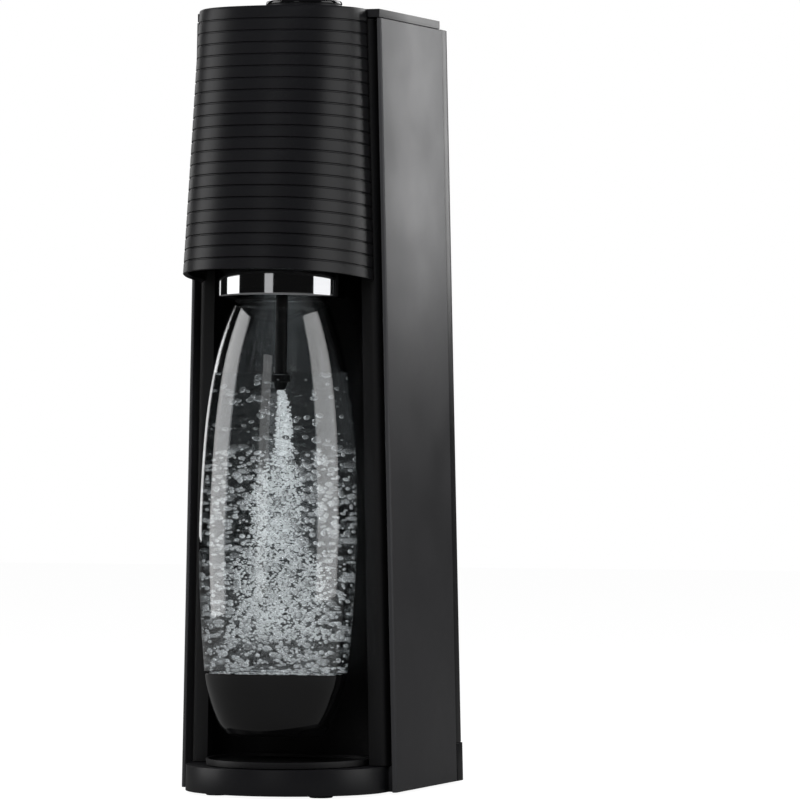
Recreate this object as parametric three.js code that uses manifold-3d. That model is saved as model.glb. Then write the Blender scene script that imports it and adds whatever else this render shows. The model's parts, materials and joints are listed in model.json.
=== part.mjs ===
// A bottle carbonator: a slim stand-up machine that holds a gas cylinder behind and a clear bottle in front.
// Millimetres, +Z up, the front faces -Y. The origin is the middle of the footprint, on the table.
import * as THREE from "three";
import { mergeVertices } from "three/addons/utils/BufferGeometryUtils.js";
import Module from "manifold-3d";

const wasm = await Module();
wasm.setup();

// ---------------------------------------------------------------- driving dimensions
const HEIGHT = 432; // table to the top of the button
const DEPTH = 186; // front of the hood to the back of the rear cover
const BOTTLE_RADIUS = 43;
const CYLINDER_RADIUS = 30;
const HOOD_HEIGHT = 142; // at its front
const LEAN = 2.5; // degrees that the docked bottle hangs forward

// Walls, gaps and fits
const GAP = 0.4; // between pieces that touch
const SLIP = 0.5; // round a pin or a piece that moves
const WALL = 2.5; // moulded covers
const COLUMN = 10; // front face of the tower's side walls
const FRAME_WALL = 4.5; // tower's side walls beside the gas cylinder
const DIVIDER = 3; // wall between the bottle's niche and the gas bay
const NICHE_SLIP = 4.5; // each side of the bottle, at the table
const NICHE_CORNER = 24; // rounding of the niche, in plan
const CHANNEL = 3.2; // dark groove between the tower and each side panel
const CHANNEL_DEPTH = 6;
const REAR_DEPTH = 17.6; // rear cover's sides, front to back
const TAPER = 9.6; // each side leans in this far over the whole height
const SIDE_SETBACK = 7; // panels' front edge behind the bottle's axis

// Base
const FOOT_HEIGHT = 1.5;
const FOOT_RADIUS = 7;
const DECK_Z = 15.4; // top of the base
const DECK_WALL = 3;
const BASE_REACH = 44; // bottle's axis to the base's front
const REAR_CORNER = 10;
const REAR_STEP_Z = 22.5; // where the rear cover starts
const TRAY_HEIGHT = 3.4;
const TRAY_INSET = 6;
const TRAY_WALL = 1.6;

// Top and button
const BUTTON_RISE = 7;
const BUTTON_RADIUS = 20.9;
const BUTTON_SETBACK = 3.5; // button's edge behind the panels' front edge
const BUTTON_ROOF = 4; // hollow under the button
const BUTTON_TRAVEL = 5;
const BUTTON_SKIRT = 12;
const RIM_WIDTH = 1.6;
const RIM_HEIGHT = 2;
const STEM_RADIUS = 3;
const TOP_THICKNESS = 4.5;

// Hood
const HOOD_SLOPE = 27; // how far its front leans out from top to bottom
const HOOD_DROOP = 5; // its ends hang lower than its front
const HOOD_INSET_TOP = 11.1; // its side from the tower's side, at its top
const HOOD_INSET_BOTTOM = 7.1; // and at its bottom
const HOOD_SQUARENESS = 2.4;

// Bottle holder
const COLLAR_RADIUS = 34.5;
const COLLAR_HEIGHT = 23;
const COLLAR_DROP = 16; // below the hood's front edge
const COLLAR_WALL = 1.6;
const COLLAR_BACK_GAP = 8; // behind the collar, where the hinge's ears reach
const BOTTLE_BACK_GAP = 6.1; // behind the bottle where it is widest
const HINGE_RISE = 19; // hinge above the hood's front edge
const HINGE_SETBACK = 8.5; // hinge in front of the divider
const AXLE_RADIUS = 3;
const EAR_RADIUS = 6;
const EAR_THICKNESS = 5;
const EAR_X = 30;
const HOUSING_ROOF = 5;
const SEAL_HEIGHT = 3;
const NECK_RADIUS = 16;
const NECK_WALL = 3;
const TUBE_RADIUS = 3.2;
const TUBE_BORE = 1.2;
const TUBE_LENGTH = 68; // below the holder's roof
const TIP_LENGTH = 8;
const BOTTLE_WALL = 2.2;
const CUP_WALL = 1.8;
const CUP_HEIGHT = 33.5;
const BOTTLE_FLOOR_GAP = 14.6; // under the bottle, above the base's deck

// Gas cylinder and what holds it
const LEVER_SPACE = 11.5; // behind the cylinder, for the lever's bar
const CYLINDER_GAP = 2; // between the cylinder and the divider
const SEAT_RIM = 4;
const SHOULDER_HEIGHT = 58;
const CYLINDER_NECK = 13;
const FLANGE_RADIUS = 19;
const FLANGE_DROP = 15; // under the valve's top
const FLANGE_THICKNESS = 3;
const VALVE_RADIUS = 9;
const VALVE_HEIGHT = 30; // cylinder's neck to the valve's top
const VALVE_PIN_RADIUS = 1.5;
const VALVE_PIN_LENGTH = 14;
const LABEL_THICKNESS = 0.5;
const BRACKET_THICKNESS = 4;
const BLOCK_WIDTH = 56;
const BLOCK_DEPTH = 32;
const BLOCK_HEIGHT = 20;
const BLOCK_LEG = 6;
const BLOCK_TO_TOP = 39; // block's top to the machine's top face
const ACTUATOR_RADIUS = 2.5;
const LEVER_ARM = 46;
const LEVER_WIDTH = 5;
const LEVER_THICKNESS = 3;
const LEVER_BAR_RADIUS = 3.5;
const LEVER_EYE_RADIUS = 4;
const LEVER_REST = 7; // degrees that it points down when locked
const LEVER_PIN_RADIUS = 2;
const ROCKER_WIDTH = 10;
const ROCKER_THICKNESS = 6;
const ROCKER_PIVOT_BACK = 17; // pivot behind the cylinder's axis
const ROCKER_RISE = 10; // pivot above the block
const ROCKER_PIN_RADIUS = 2;
const SCREW_RADIUS = 3;

// ---------------------------------------------------------------- places worked out from them
const FRONT = -DEPTH / 2;
const BACK = DEPTH / 2;
const TOP_Z = HEIGHT - BUTTON_RISE; // flat top face
const CYLINDER_Y = BACK - WALL - LEVER_SPACE - CYLINDER_RADIUS;
const DIVIDER_BACK = CYLINDER_Y - CYLINDER_RADIUS - CYLINDER_GAP;
const DIVIDER_FRONT = DIVIDER_BACK - DIVIDER;
const HOOD_Z = TOP_Z - HOOD_HEIGHT;
const HINGE_Z = HOOD_Z + HINGE_RISE;
const LEAN_SHIFT = Math.tan(THREE.MathUtils.degToRad(LEAN)) * (HINGE_Z / 2); // forward, half way down
// The bottle's axis at the hinge's height: the bottle clears the divider, and the collar clears the hinge.
const BOTTLE_Y = Math.min(
  DIVIDER_FRONT - BOTTLE_RADIUS - BOTTLE_BACK_GAP + LEAN_SHIFT,
  DIVIDER_FRONT - COLLAR_RADIUS - COLLAR_BACK_GAP,
);
const SIDE_Y = BOTTLE_Y + SIDE_SETBACK; // front edge of the panels, end of the hood
const BASE_FRONT = BOTTLE_Y - BASE_REACH;
const PANEL_BACK = BACK - REAR_DEPTH;
const NICHE_HALF = BOTTLE_RADIUS + NICHE_SLIP;
const FRAME_HALF = NICHE_HALF + COLUMN;
const PANEL_HALF = FRAME_HALF + CHANNEL + WALL;
const HOOD_SIDE_TOP = FRAME_HALF - HOOD_INSET_TOP;
const HOOD_SIDE_BOTTOM = FRAME_HALF - HOOD_INSET_BOTTOM;
const PANEL_TOP = TOP_Z - TOP_THICKNESS - GAP;
const BUTTON_Y = SIDE_Y + BUTTON_RADIUS + BUTTON_SETBACK;
const BLOCK_TOP = TOP_Z - BLOCK_TO_TOP;
const BLOCK_BOTTOM = BLOCK_TOP - BLOCK_HEIGHT;
const VALVE_TOP = BLOCK_BOTTOM - 1;
const VALVE_PIN_TOP = VALVE_TOP + 0.6; // stands clear of the block, so that the cylinder can leave
const FLANGE_Z = VALVE_TOP - FLANGE_DROP;
const BRACKET_TOP = FLANGE_Z - GAP;
const NECK_Z = VALVE_TOP - VALVE_HEIGHT;
const SEAT_TOP = REAR_STEP_Z + GAP; // the cylinder clears the base as it comes out backwards
const CYLINDER_Z = SEAT_TOP + GAP;
const HINGE_Y = DIVIDER_FRONT - HINGE_SETBACK;
const ROCKER_Y = CYLINDER_Y + ROCKER_PIVOT_BACK;
const ROCKER_Z = BLOCK_TOP + ROCKER_RISE;
const ROCKER_TOP = ROCKER_Z + ROCKER_THICKNESS / 2;
const ROCKER_BOTTOM = ROCKER_Z - ROCKER_THICKNESS / 2;
// Inside the holder's own frame, whose origin is the hinge
const AXIS_REACH = HINGE_Y - BOTTLE_Y;
const COLLAR_LOW = -HINGE_RISE - COLLAR_DROP;
const ROOF_LOW = COLLAR_LOW + COLLAR_HEIGHT + 2;
const MOUTH = ROOF_LOW - SEAL_HEIGHT - 2 * GAP;
const BOTTLE_LOW = DECK_Z + BOTTLE_FLOOR_GAP - HINGE_Z;

// ---------------------------------------------------------------- solids: joining, cutting, placing
function solid(geometry) {
  const bare = geometry.clone();
  bare.deleteAttribute("normal");
  bare.deleteAttribute("uv");
  const merged = mergeVertices(bare, 1e-4);
  const vertProperties = new Float32Array(merged.attributes.position.array);
  const triVerts = new Uint32Array(merged.index.array);
  return new wasm.Manifold(new wasm.Mesh({ numProp: 3, vertProperties, triVerts }));
}

function geometryOf(manifold) {
  const mesh = manifold.getMesh();
  const geometry = new THREE.BufferGeometry();
  geometry.setAttribute("position", new THREE.BufferAttribute(mesh.vertProperties, 3));
  geometry.setIndex(new THREE.BufferAttribute(mesh.triVerts, 1));
  const loose = geometry.toNonIndexed();
  loose.computeVertexNormals();
  return loose;
}

const join = (first, ...rest) => geometryOf(rest.reduce((sum, g) => sum.add(solid(g)), solid(first)));
const cut = (first, ...rest) => geometryOf(rest.reduce((left, g) => left.subtract(solid(g)), solid(first)));
const moved = (geometry, x, y, z) => geometry.clone().translate(x, y, z);

// A block between two corners.
function block(x0, x1, y0, y1, z0, z1) {
  return new THREE.BoxGeometry(x1 - x0, y1 - y0, z1 - z0).translate((x0 + x1) / 2, (y0 + y1) / 2, (z0 + z1) / 2);
}

// A plan outline, given as [x, y] points, raised from z0 to z1.
function raised(points, z0, z1, steps = 1) {
  const shape = new THREE.Shape(points.map(([x, y]) => new THREE.Vector2(x, y)));
  return new THREE.ExtrudeGeometry(shape, { depth: z1 - z0, steps, bevelEnabled: false }).translate(0, 0, z0);
}

// A side outline, given as [y, z] points, run from x0 to x1.
function sideways(points, x0, x1) {
  const shape = new THREE.Shape(points.map(([y, z]) => new THREE.Vector2(y, z)));
  const run = new THREE.ExtrudeGeometry(shape, { depth: x1 - x0, bevelEnabled: false });
  return run.rotateY(Math.PI / 2).rotateX(Math.PI / 2).translate(x0, 0, 0);
}

// Round bars along Z and along X.
function rod(radius, z0, z1, x = 0, y = 0, sides = 20) {
  return new THREE.CylinderGeometry(radius, radius, z1 - z0, sides)
    .rotateX(Math.PI / 2)
    .translate(x, y, (z0 + z1) / 2);
}

function crossRod(radius, x0, x1, y, z, sides = 16) {
  return new THREE.CylinderGeometry(radius, radius, x1 - x0, sides)
    .rotateZ(Math.PI / 2)
    .translate((x0 + x1) / 2, y, z);
}

// A profile of [radius, z] points turned about Z. It starts and ends on the axis or closes on itself.
function turned(profile, sides = 32) {
  const points = profile.map(([r, z]) => new THREE.Vector2(r, z));
  return new THREE.LatheGeometry(points, sides).rotateX(Math.PI / 2);
}

const ring = (inner, outer, z0, z1, sides = 32) =>
  turned([[inner, z0], [outer, z0], [outer, z1], [inner, z1], [inner, z0]], sides);

// A round wire or hose along a curve.
function along(curve, radius, steps, sides = 6) {
  const section = new THREE.Shape();
  for (let i = 0; i < sides; i++) {
    const angle = (2 * Math.PI * i) / sides;
    const x = radius * Math.cos(angle);
    const y = radius * Math.sin(angle);
    if (i === 0) section.moveTo(x, y);
    else section.lineTo(x, y);
  }
  return new THREE.ExtrudeGeometry(section, { steps, extrudePath: curve, bevelEnabled: false });
}

class Helix extends THREE.Curve {
  constructor(radius, rise, turns) {
    super();
    this.radius = radius;
    this.rise = rise;
    this.turns = turns;
  }

  getPoint(t) {
    const angle = 2 * Math.PI * this.turns * t;
    return new THREE.Vector3(this.radius * Math.cos(angle), this.radius * Math.sin(angle), this.rise * t);
  }
}

const coil = (radius, rise, turns, wire) => along(new Helix(radius, rise, turns), wire, turns * 10, 5);

// The machine is narrower towards its top: every wide moulding leans in with the panels.
const narrowing = (z) => 1 - (TAPER / PANEL_HALF) * (z / HEIGHT);

function tapered(geometry) {
  const place = geometry.attributes.position;
  for (let i = 0; i < place.count; i++) place.setX(i, place.getX(i) * narrowing(place.getZ(i)));
  return geometry;
}

// ---------------------------------------------------------------- plan outlines
// A quarter turn of a corner, from angle a0 to a1 in degrees.
function arc(x, y, radius, a0, a1, steps = 4) {
  const points = [];
  for (let i = 0; i <= steps; i++) {
    const angle = THREE.MathUtils.degToRad(a0 + ((a1 - a0) * i) / steps);
    points.push([x + radius * Math.cos(angle), y + radius * Math.sin(angle)]);
  }
  return points;
}

// The bow of a front, from its left end round to its right end, both on the line y = end.
function bow(half, end, front, squareness, steps = 20) {
  const points = [];
  for (let i = 0; i <= steps; i++) {
    const angle = Math.PI * (1 - i / steps);
    const across = Math.cos(angle);
    const forward = Math.sin(angle);
    const x = half * Math.sign(across) * Math.abs(across) ** (2 / squareness);
    const y = end - (end - front) * Math.abs(forward) ** (2 / squareness);
    points.push([x, y]);
  }
  return points;
}

// A box in plan with rounded back corners.
const backBox = (half, front, back, radius) => [
  [-half, front],
  [half, front],
  ...arc(half - radius, back - radius, radius, 0, 90),
  ...arc(-half + radius, back - radius, radius, 90, 180),
];

// ---------------------------------------------------------------- materials
const finish = (color, roughness, metalness = 0) => new THREE.MeshStandardMaterial({ color, roughness, metalness });
const satinBlack = finish(0x2a2a2c, 0.42);
const glossBlack = finish(0x0b0b0c, 0.12);
const mattBlack = finish(0x161617, 0.6);
const panelGrey = finish(0x3a3a3c, 0.35);
const rubber = finish(0x1a1a1a, 0.85);
const chrome = finish(0xd8d8da, 0.06, 1);
const steel = finish(0xa8a9ab, 0.3, 1);
const brass = finish(0xb99a52, 0.3, 1);
const aluminium = finish(0xb9bcc0, 0.35, 1);
const pink = finish(0xd6006d, 0.35);
const clear = new THREE.MeshStandardMaterial({ color: 0xe8eef0, roughness: 0.05, transparent: true, opacity: 0.35 });

const machine = new THREE.Group();

function place(name, geometry, material, parent = machine) {
  const mesh = new THREE.Mesh(geometry, material);
  mesh.name = name;
  parent.add(mesh);
  return mesh;
}

// ---------------------------------------------------------------- base
const baseSide = PANEL_HALF - WALL - GAP; // inside the panels' skirts
const baseBow = FRAME_HALF - 1; // its front stands a little inside the tower's sides
const CORE = 6; // rounding of the base's inside corners
const baseOutline = [
  ...bow(baseBow, SIDE_Y, BASE_FRONT, 2),
  [baseBow, SIDE_Y + CHANNEL_DEPTH],
  [baseSide, SIDE_Y + CHANNEL_DEPTH],
  [baseSide, PANEL_BACK],
  [-baseSide, PANEL_BACK],
  [-baseSide, SIDE_Y + CHANNEL_DEPTH],
  [-baseBow, SIDE_Y + CHANNEL_DEPTH],
];

// Plan of the space inside the base, left clear of its walls by an inset.
const baseInside = (inset) => [
  ...bow(baseBow - inset, SIDE_Y, BASE_FRONT + inset, 2),
  [baseBow - inset, SIDE_Y + CHANNEL_DEPTH + inset],
  ...arc(baseSide - inset - CORE, BACK - inset - CORE, CORE, 0, 90, 3),
  ...arc(-baseSide + inset + CORE, BACK - inset - CORE, CORE, 90, 180, 3),
  [-baseBow + inset, SIDE_Y + CHANNEL_DEPTH + inset],
];

function base() {
  const front = raised(baseOutline, FOOT_HEIGHT, DECK_Z);
  const back = raised(backBox(PANEL_HALF, PANEL_BACK + GAP, BACK, REAR_CORNER), FOOT_HEIGHT, REAR_STEP_Z);
  const bridge = block(-baseSide, baseSide, PANEL_BACK - 5, PANEL_BACK + 5, FOOT_HEIGHT, DECK_Z);
  const hollow = raised(baseInside(DECK_WALL), 0, DECK_Z - DECK_WALL);
  const pocketHalf = baseSide - DECK_WALL;
  const pocket = block(-pocketHalf, pocketHalf, PANEL_BACK - 6, BACK - DECK_WALL, DECK_Z, HEIGHT);
  return cut(tapered(join(front, back, bridge)), hollow, pocket);
}

// The same place on the left and on the right.
const bothSides = (x, y) => [
  [-x, y],
  [x, y],
];
const screwPlaces = [...bothSides(baseBow - 18.5, SIDE_Y + 8), ...bothSides(baseSide - 16.3, BACK - 24)];
const footPlaces = [...bothSides(baseBow - 26.5, BASE_FRONT + 24), ...bothSides(baseSide - 16.3, BACK - 40)];
const PLATE_TOP = FOOT_HEIGHT + 2.5;

function bottomPlate() {
  const plate = raised(baseInside(DECK_WALL + GAP), FOOT_HEIGHT, PLATE_TOP);
  const screwHoles = screwPlaces.map(([x, y]) => rod(SCREW_RADIUS + SLIP, 0, PLATE_TOP + 1, x, y, 12));
  const footSockets = footPlaces.map(([x, y]) => rod(FOOT_RADIUS + GAP, 0, FOOT_HEIGHT + 1, x, y, 16));
  return cut(plate, ...screwHoles, ...footSockets);
}

place("base", base(), satinBlack);
place("bottom_plate", bottomPlate(), mattBlack);
footPlaces.forEach(([x, y], i) => {
  const high = FOOT_HEIGHT + 1 - GAP;
  const foot = turned([[0, 0], [FOOT_RADIUS - 1, 0], [FOOT_RADIUS, 1], [FOOT_RADIUS, high], [0, high]], 16);
  place(`foot_${i + 1}`, moved(foot, x, y, 0), rubber);
});
screwPlaces.forEach(([x, y], i) => {
  const head = rod(SCREW_RADIUS, FOOT_HEIGHT + 0.4, FOOT_HEIGHT + 2.2, 0, 0, 12);
  const shank = rod(SCREW_RADIUS / 2, FOOT_HEIGHT + 2, DECK_Z - DECK_WALL - GAP, 0, 0, 8);
  const slot = block(-SCREW_RADIUS, SCREW_RADIUS, -0.4, 0.4, 0, FOOT_HEIGHT + 1);
  place(`base_screw_${i + 1}`, moved(cut(join(head, shank), slot), x, y, 0), steel);
});

// ---------------------------------------------------------------- drip tray, slides out forwards
function dripTray() {
  const half = NICHE_HALF - TRAY_INSET / 2;
  const low = DECK_Z + GAP;
  const back = DIVIDER_FRONT - TRAY_INSET / 2;
  const outline = (inset) => [
    ...bow(half - inset, SIDE_Y, BASE_FRONT + TRAY_INSET + inset, 2),
    ...arc(half - NICHE_CORNER, back - NICHE_CORNER, NICHE_CORNER - inset, 0, 90),
    ...arc(-half + NICHE_CORNER, back - NICHE_CORNER, NICHE_CORNER - inset, 90, 180),
  ];
  const dish = raised(outline(TRAY_WALL), low + TRAY_WALL, low + TRAY_HEIGHT + 1);
  return cut(raised(outline(0), low, low + TRAY_HEIGHT), dish);
}
place("drip_tray", dripTray(), mattBlack);

// ---------------------------------------------------------------- tower frame
const FRAME_LOW = DECK_Z + GAP;
const FRAME_TOP = PANEL_TOP - GAP;
const BAY_HALF = FRAME_HALF - FRAME_WALL;
const DIVIDER_TOP = HINGE_Z + 40;
const RAIL_Y = SIDE_Y + CHANNEL_DEPTH + 4;
const RAIL_DEPTH = 3;

function towerFrame() {
  const round = 3;
  const outside = raised(
    [
      ...arc(-FRAME_HALF + round, SIDE_Y + round, round, 180, 270, 3),
      ...arc(FRAME_HALF - round, SIDE_Y + round, round, 270, 360, 3),
      [FRAME_HALF, PANEL_BACK],
      [-FRAME_HALF, PANEL_BACK],
    ],
    FRAME_LOW,
    FRAME_TOP,
  );
  const corner = NICHE_CORNER;
  const niche = raised(
    [
      [NICHE_HALF, SIDE_Y - 1],
      ...arc(NICHE_HALF - corner, DIVIDER_FRONT - corner, corner, 0, 90, 6),
      ...arc(-NICHE_HALF + corner, DIVIDER_FRONT - corner, corner, 90, 180, 6),
      [-NICHE_HALF, SIDE_Y - 1],
    ],
    0,
    HOOD_Z + 2,
  );
  const head = block(-BAY_HALF, BAY_HALF, SIDE_Y - 1, DIVIDER_FRONT, HOOD_Z + 2 - GAP, HEIGHT);
  const bay = block(-BAY_HALF, BAY_HALF, DIVIDER_BACK, BACK, 0, HEIGHT);
  const above = block(-BAY_HALF, BAY_HALF, DIVIDER_FRONT - 1, DIVIDER_BACK + 1, DIVIDER_TOP, HEIGHT);
  const railOut = PANEL_HALF - WALL - GAP;
  const rails = [RAIL_Y, PANEL_BACK - RAIL_DEPTH].map((y) =>
    block(-railOut, railOut, y, y + RAIL_DEPTH, FRAME_LOW, PANEL_TOP - 4),
  );
  const shell = cut(join(outside, ...rails), niche, head, bay, above);
  const wide = tapered(shell);
  const axleHole = crossRod(AXLE_RADIUS + GAP, -FRAME_HALF - 20, FRAME_HALF + 20, HINGE_Y, HINGE_Z);
  return cut(wide, axleHole);
}
place("tower_frame", towerFrame(), mattBlack);

// ---------------------------------------------------------------- side panels, satin, rounded along the front edge
const PANEL_ROUND = 2;

function sidePanel(side) {
  const inner = PANEL_HALF - WALL;
  const outline = [
    [inner, SIDE_Y],
    ...arc(PANEL_HALF - PANEL_ROUND, SIDE_Y + PANEL_ROUND, PANEL_ROUND, -90, 0),
    [PANEL_HALF, PANEL_BACK - GAP],
    [inner, PANEL_BACK - GAP],
  ];
  const panel = tapered(raised(outline, FOOT_HEIGHT, PANEL_TOP));
  return side > 0 ? panel : mirrored(panel);
}

// The same piece for the other side: x changes sign and every triangle is turned round.
function mirrored(geometry) {
  const flat = geometry.index ? geometry.toNonIndexed() : geometry.clone();
  flat.scale(-1, 1, 1);
  const place3 = flat.attributes.position;
  const corner = (i) => [place3.getX(i), place3.getY(i), place3.getZ(i)];
  for (let i = 0; i < place3.count; i += 3) {
    const second = corner(i + 1);
    const third = corner(i + 2);
    place3.setXYZ(i + 1, ...third);
    place3.setXYZ(i + 2, ...second);
  }
  flat.computeVertexNormals();
  return flat;
}
place("left_side_panel", sidePanel(-1), panelGrey);
place("right_side_panel", sidePanel(1), panelGrey);

// ---------------------------------------------------------------- front hood
// One bowed shell. Its front leans out downwards, and its lower edge hangs lower towards its ends.
const HOOD_END = SIDE_Y - GAP;
function hoodBody(inset, z0, z1, steps) {
  const unit = raised(bow(1, 0, -1, HOOD_SQUARENESS), 0, 1, steps);
  const place3 = unit.attributes.position;
  for (let i = 0; i < place3.count; i++) {
    const z = z0 + (z1 - z0) * place3.getZ(i);
    const down = (TOP_Z - z) / HOOD_HEIGHT;
    const half = HOOD_SIDE_TOP + (HOOD_SIDE_BOTTOM - HOOD_SIDE_TOP) * down - inset;
    const reach = HOOD_END - FRONT - HOOD_SLOPE * (1 - down) - inset;
    const forward = -place3.getY(i);
    const y = HOOD_END - forward * reach;
    place3.setXYZ(i, place3.getX(i) * half, y, z - HOOD_DROOP * Math.max(0, down) * (1 - forward));
  }
  return unit;
}

function frontHood() {
  const outer = hoodBody(0, HOOD_Z, TOP_Z, 4);
  const inner = hoodBody(WALL, HOOD_Z - 10, TOP_Z - 3, 4);
  const rearHalf = HOOD_SIDE_TOP - WALL;
  const rearOpening = block(-rearHalf, rearHalf, HOOD_END - 1, HOOD_END + 1, HOOD_Z - 20, TOP_Z - 3);
  return cut(outer, inner, rearOpening);
}
place("front_hood", frontHood(), satinBlack);

// ---------------------------------------------------------------- top cover, with the button's well
const COVER_HALF = PANEL_HALF * narrowing(TOP_Z) - 0.6;
const WELL_WALL = 2;

function topCover() {
  const plate = raised(backBox(COVER_HALF, SIDE_Y + GAP, PANEL_BACK, 2), TOP_Z - TOP_THICKNESS, TOP_Z);
  const bump = raised(backBox(COVER_HALF - 8, PANEL_BACK - 14, PANEL_BACK, 4), TOP_Z - 1, TOP_Z + 0.8);
  const well = rod(BUTTON_RADIUS + SLIP + WELL_WALL, TOP_Z - BUTTON_SKIRT - 4, TOP_Z - 1, 0, BUTTON_Y, 32);
  const opening = rod(BUTTON_RADIUS + SLIP, TOP_Z - BUTTON_SKIRT - 2, TOP_Z + 2, 0, BUTTON_Y, 32);
  const stemHole = rod(STEM_RADIUS + SLIP, TOP_Z - 30, TOP_Z, 0, BUTTON_Y, 16);
  return cut(join(plate, bump, well), opening, stemHole);
}
place("top_cover", topCover(), satinBlack);

// ---------------------------------------------------------------- rear cover, pulls off backwards
const COVER_LOW = REAR_STEP_Z + GAP;
const REAR_TOP = PANEL_TOP + 0.4;

function rearCover() {
  const half = PANEL_HALF - 2 * GAP;
  const outside = backBox(half, PANEL_BACK + 2 * GAP, BACK, REAR_CORNER);
  const inside = backBox(half - WALL, PANEL_BACK - 5, BACK - WALL, REAR_CORNER - WALL);
  const shell = tapered(raised(outside, COVER_LOW, REAR_TOP));
  return cut(shell, tapered(raised(inside, COVER_LOW - 5, REAR_TOP - WALL)));
}
place("rear_cover", rearCover(), satinBlack);

function rearCoverLatch() {
  const grip = block(-14, 14, BACK - WALL - 6, BACK - WALL - GAP, REAR_TOP - WALL - 9, REAR_TOP - WALL - GAP);
  const thumb = block(-11, 11, BACK - WALL - 7, BACK - WALL - 2, REAR_TOP - WALL - 7, REAR_TOP - WALL - 2);
  return cut(grip, thumb);
}
place("rear_cover_latch", rearCoverLatch(), mattBlack);

// ---------------------------------------------------------------- gas cylinder
const SHOULDER_Z = NECK_Z - SHOULDER_HEIGHT;

function gasCylinder() {
  const shoulder = [];
  const steps = 6;
  for (let i = 0; i <= steps; i++) {
    const angle = (i / steps) * (Math.PI / 2);
    const radius = CYLINDER_NECK + (CYLINDER_RADIUS - CYLINDER_NECK) * Math.cos(angle);
    shoulder.push([radius, SHOULDER_Z + SHOULDER_HEIGHT * 0.86 * Math.sin(angle)]);
  }
  return turned([
    [0, CYLINDER_Z + 4],
    [CYLINDER_RADIUS - 9, CYLINDER_Z + 4],
    [CYLINDER_RADIUS - 6, CYLINDER_Z],
    [CYLINDER_RADIUS - 3, CYLINDER_Z],
    [CYLINDER_RADIUS, CYLINDER_Z + 4],
    ...shoulder,
    [CYLINDER_NECK, NECK_Z],
    [0, NECK_Z],
  ]);
}

function cylinderValve() {
  const low = NECK_Z + GAP;
  const body = turned([
    [0, low],
    [VALVE_RADIUS + 2, low],
    [VALVE_RADIUS + 2, low + 8],
    [VALVE_RADIUS, low + 10],
    [VALVE_RADIUS, VALVE_TOP],
    [0, VALVE_TOP],
  ], 24);
  return cut(body, rod(VALVE_PIN_RADIUS + SLIP, VALVE_TOP - VALVE_PIN_LENGTH, VALVE_TOP + 1, 0, 0, 12));
}

function quickConnectCollar() {
  const bore = VALVE_RADIUS + GAP;
  const low = NECK_Z + 10 + 2 * GAP;
  return turned([
    [bore, low],
    [CYLINDER_NECK, low],
    [CYLINDER_NECK, FLANGE_Z],
    [FLANGE_RADIUS, FLANGE_Z],
    [FLANGE_RADIUS, FLANGE_Z + FLANGE_THICKNESS],
    [CYLINDER_NECK + 2, FLANGE_Z + FLANGE_THICKNESS],
    [CYLINDER_NECK, VALVE_TOP - 2],
    [bore, VALVE_TOP - 2],
    [bore, low],
  ], 24);
}

const cylinder = new THREE.Group();
cylinder.position.set(0, CYLINDER_Y, 0);
machine.add(cylinder);
place("gas_cylinder", gasCylinder(), aluminium, cylinder);
const labelBore = CYLINDER_RADIUS + GAP / 2;
const label = ring(labelBore, labelBore + LABEL_THICKNESS, CYLINDER_Z + 12, SHOULDER_Z - 6);
place("cylinder_label", label, pink, cylinder);
place("cylinder_valve", cylinderValve(), brass, cylinder);
place("quick_connect_collar", quickConnectCollar(), pink, cylinder);
const valvePin = rod(VALVE_PIN_RADIUS, VALVE_PIN_TOP - VALVE_PIN_LENGTH + 5, VALVE_PIN_TOP, 0, 0, 12);
place("valve_pin", valvePin, steel, cylinder);

function cylinderSeat() {
  const low = DECK_Z + GAP;
  const outer = CYLINDER_RADIUS + 1.5; // stays in front of the divider's face
  const pad = ring(CYLINDER_RADIUS - 14, outer, low, SEAT_TOP);
  const rim = ring(CYLINDER_RADIUS + SLIP, outer, low, SEAT_TOP + SEAT_RIM);
  const back = block(-60, 60, 0, 60, SEAT_TOP, SEAT_TOP + 20);
  return moved(cut(join(pad, rim), back), 0, CYLINDER_Y, 0);
}
place("cylinder_seat", cylinderSeat(), rubber);

// ---------------------------------------------------------------- bracket and valve block
function cylinderBracket() {
  const half = BAY_HALF * narrowing(BRACKET_TOP) - GAP;
  const plate = block(-half, half, DIVIDER_BACK + GAP, CYLINDER_Y + 22, BRACKET_TOP - BRACKET_THICKNESS, BRACKET_TOP);
  const throat = CYLINDER_NECK + 1;
  const round = rod(throat, BRACKET_TOP - 10, BRACKET_TOP + 10, 0, CYLINDER_Y, 24);
  const slot = block(-throat, throat, CYLINDER_Y, BACK, BRACKET_TOP - 10, BRACKET_TOP + 10);
  return cut(plate, round, slot);
}
place("cylinder_bracket", cylinderBracket(), steel);

const BLOCK_FORWARD = 3; // the block's middle in front of the cylinder's axis
const BLOCK_FRONT = CYLINDER_Y - BLOCK_DEPTH / 2 - BLOCK_FORWARD;
const BLOCK_BACK = BLOCK_FRONT + BLOCK_DEPTH;
const LEVER_PIVOT_Y = BLOCK_FRONT + 8;
const LEVER_PIVOT_Z = BLOCK_BOTTOM + 12;
const PORT_Z = BLOCK_BOTTOM + 7;
const SEAT_RECESS = 2.5;
const HOSE_RADIUS = 3;
const RELIEF_RADIUS = 4;
const reliefPlace = [-14, CYLINDER_Y - 10];
const blockScrewPlaces = bothSides(20, CYLINDER_Y + 6);

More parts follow.
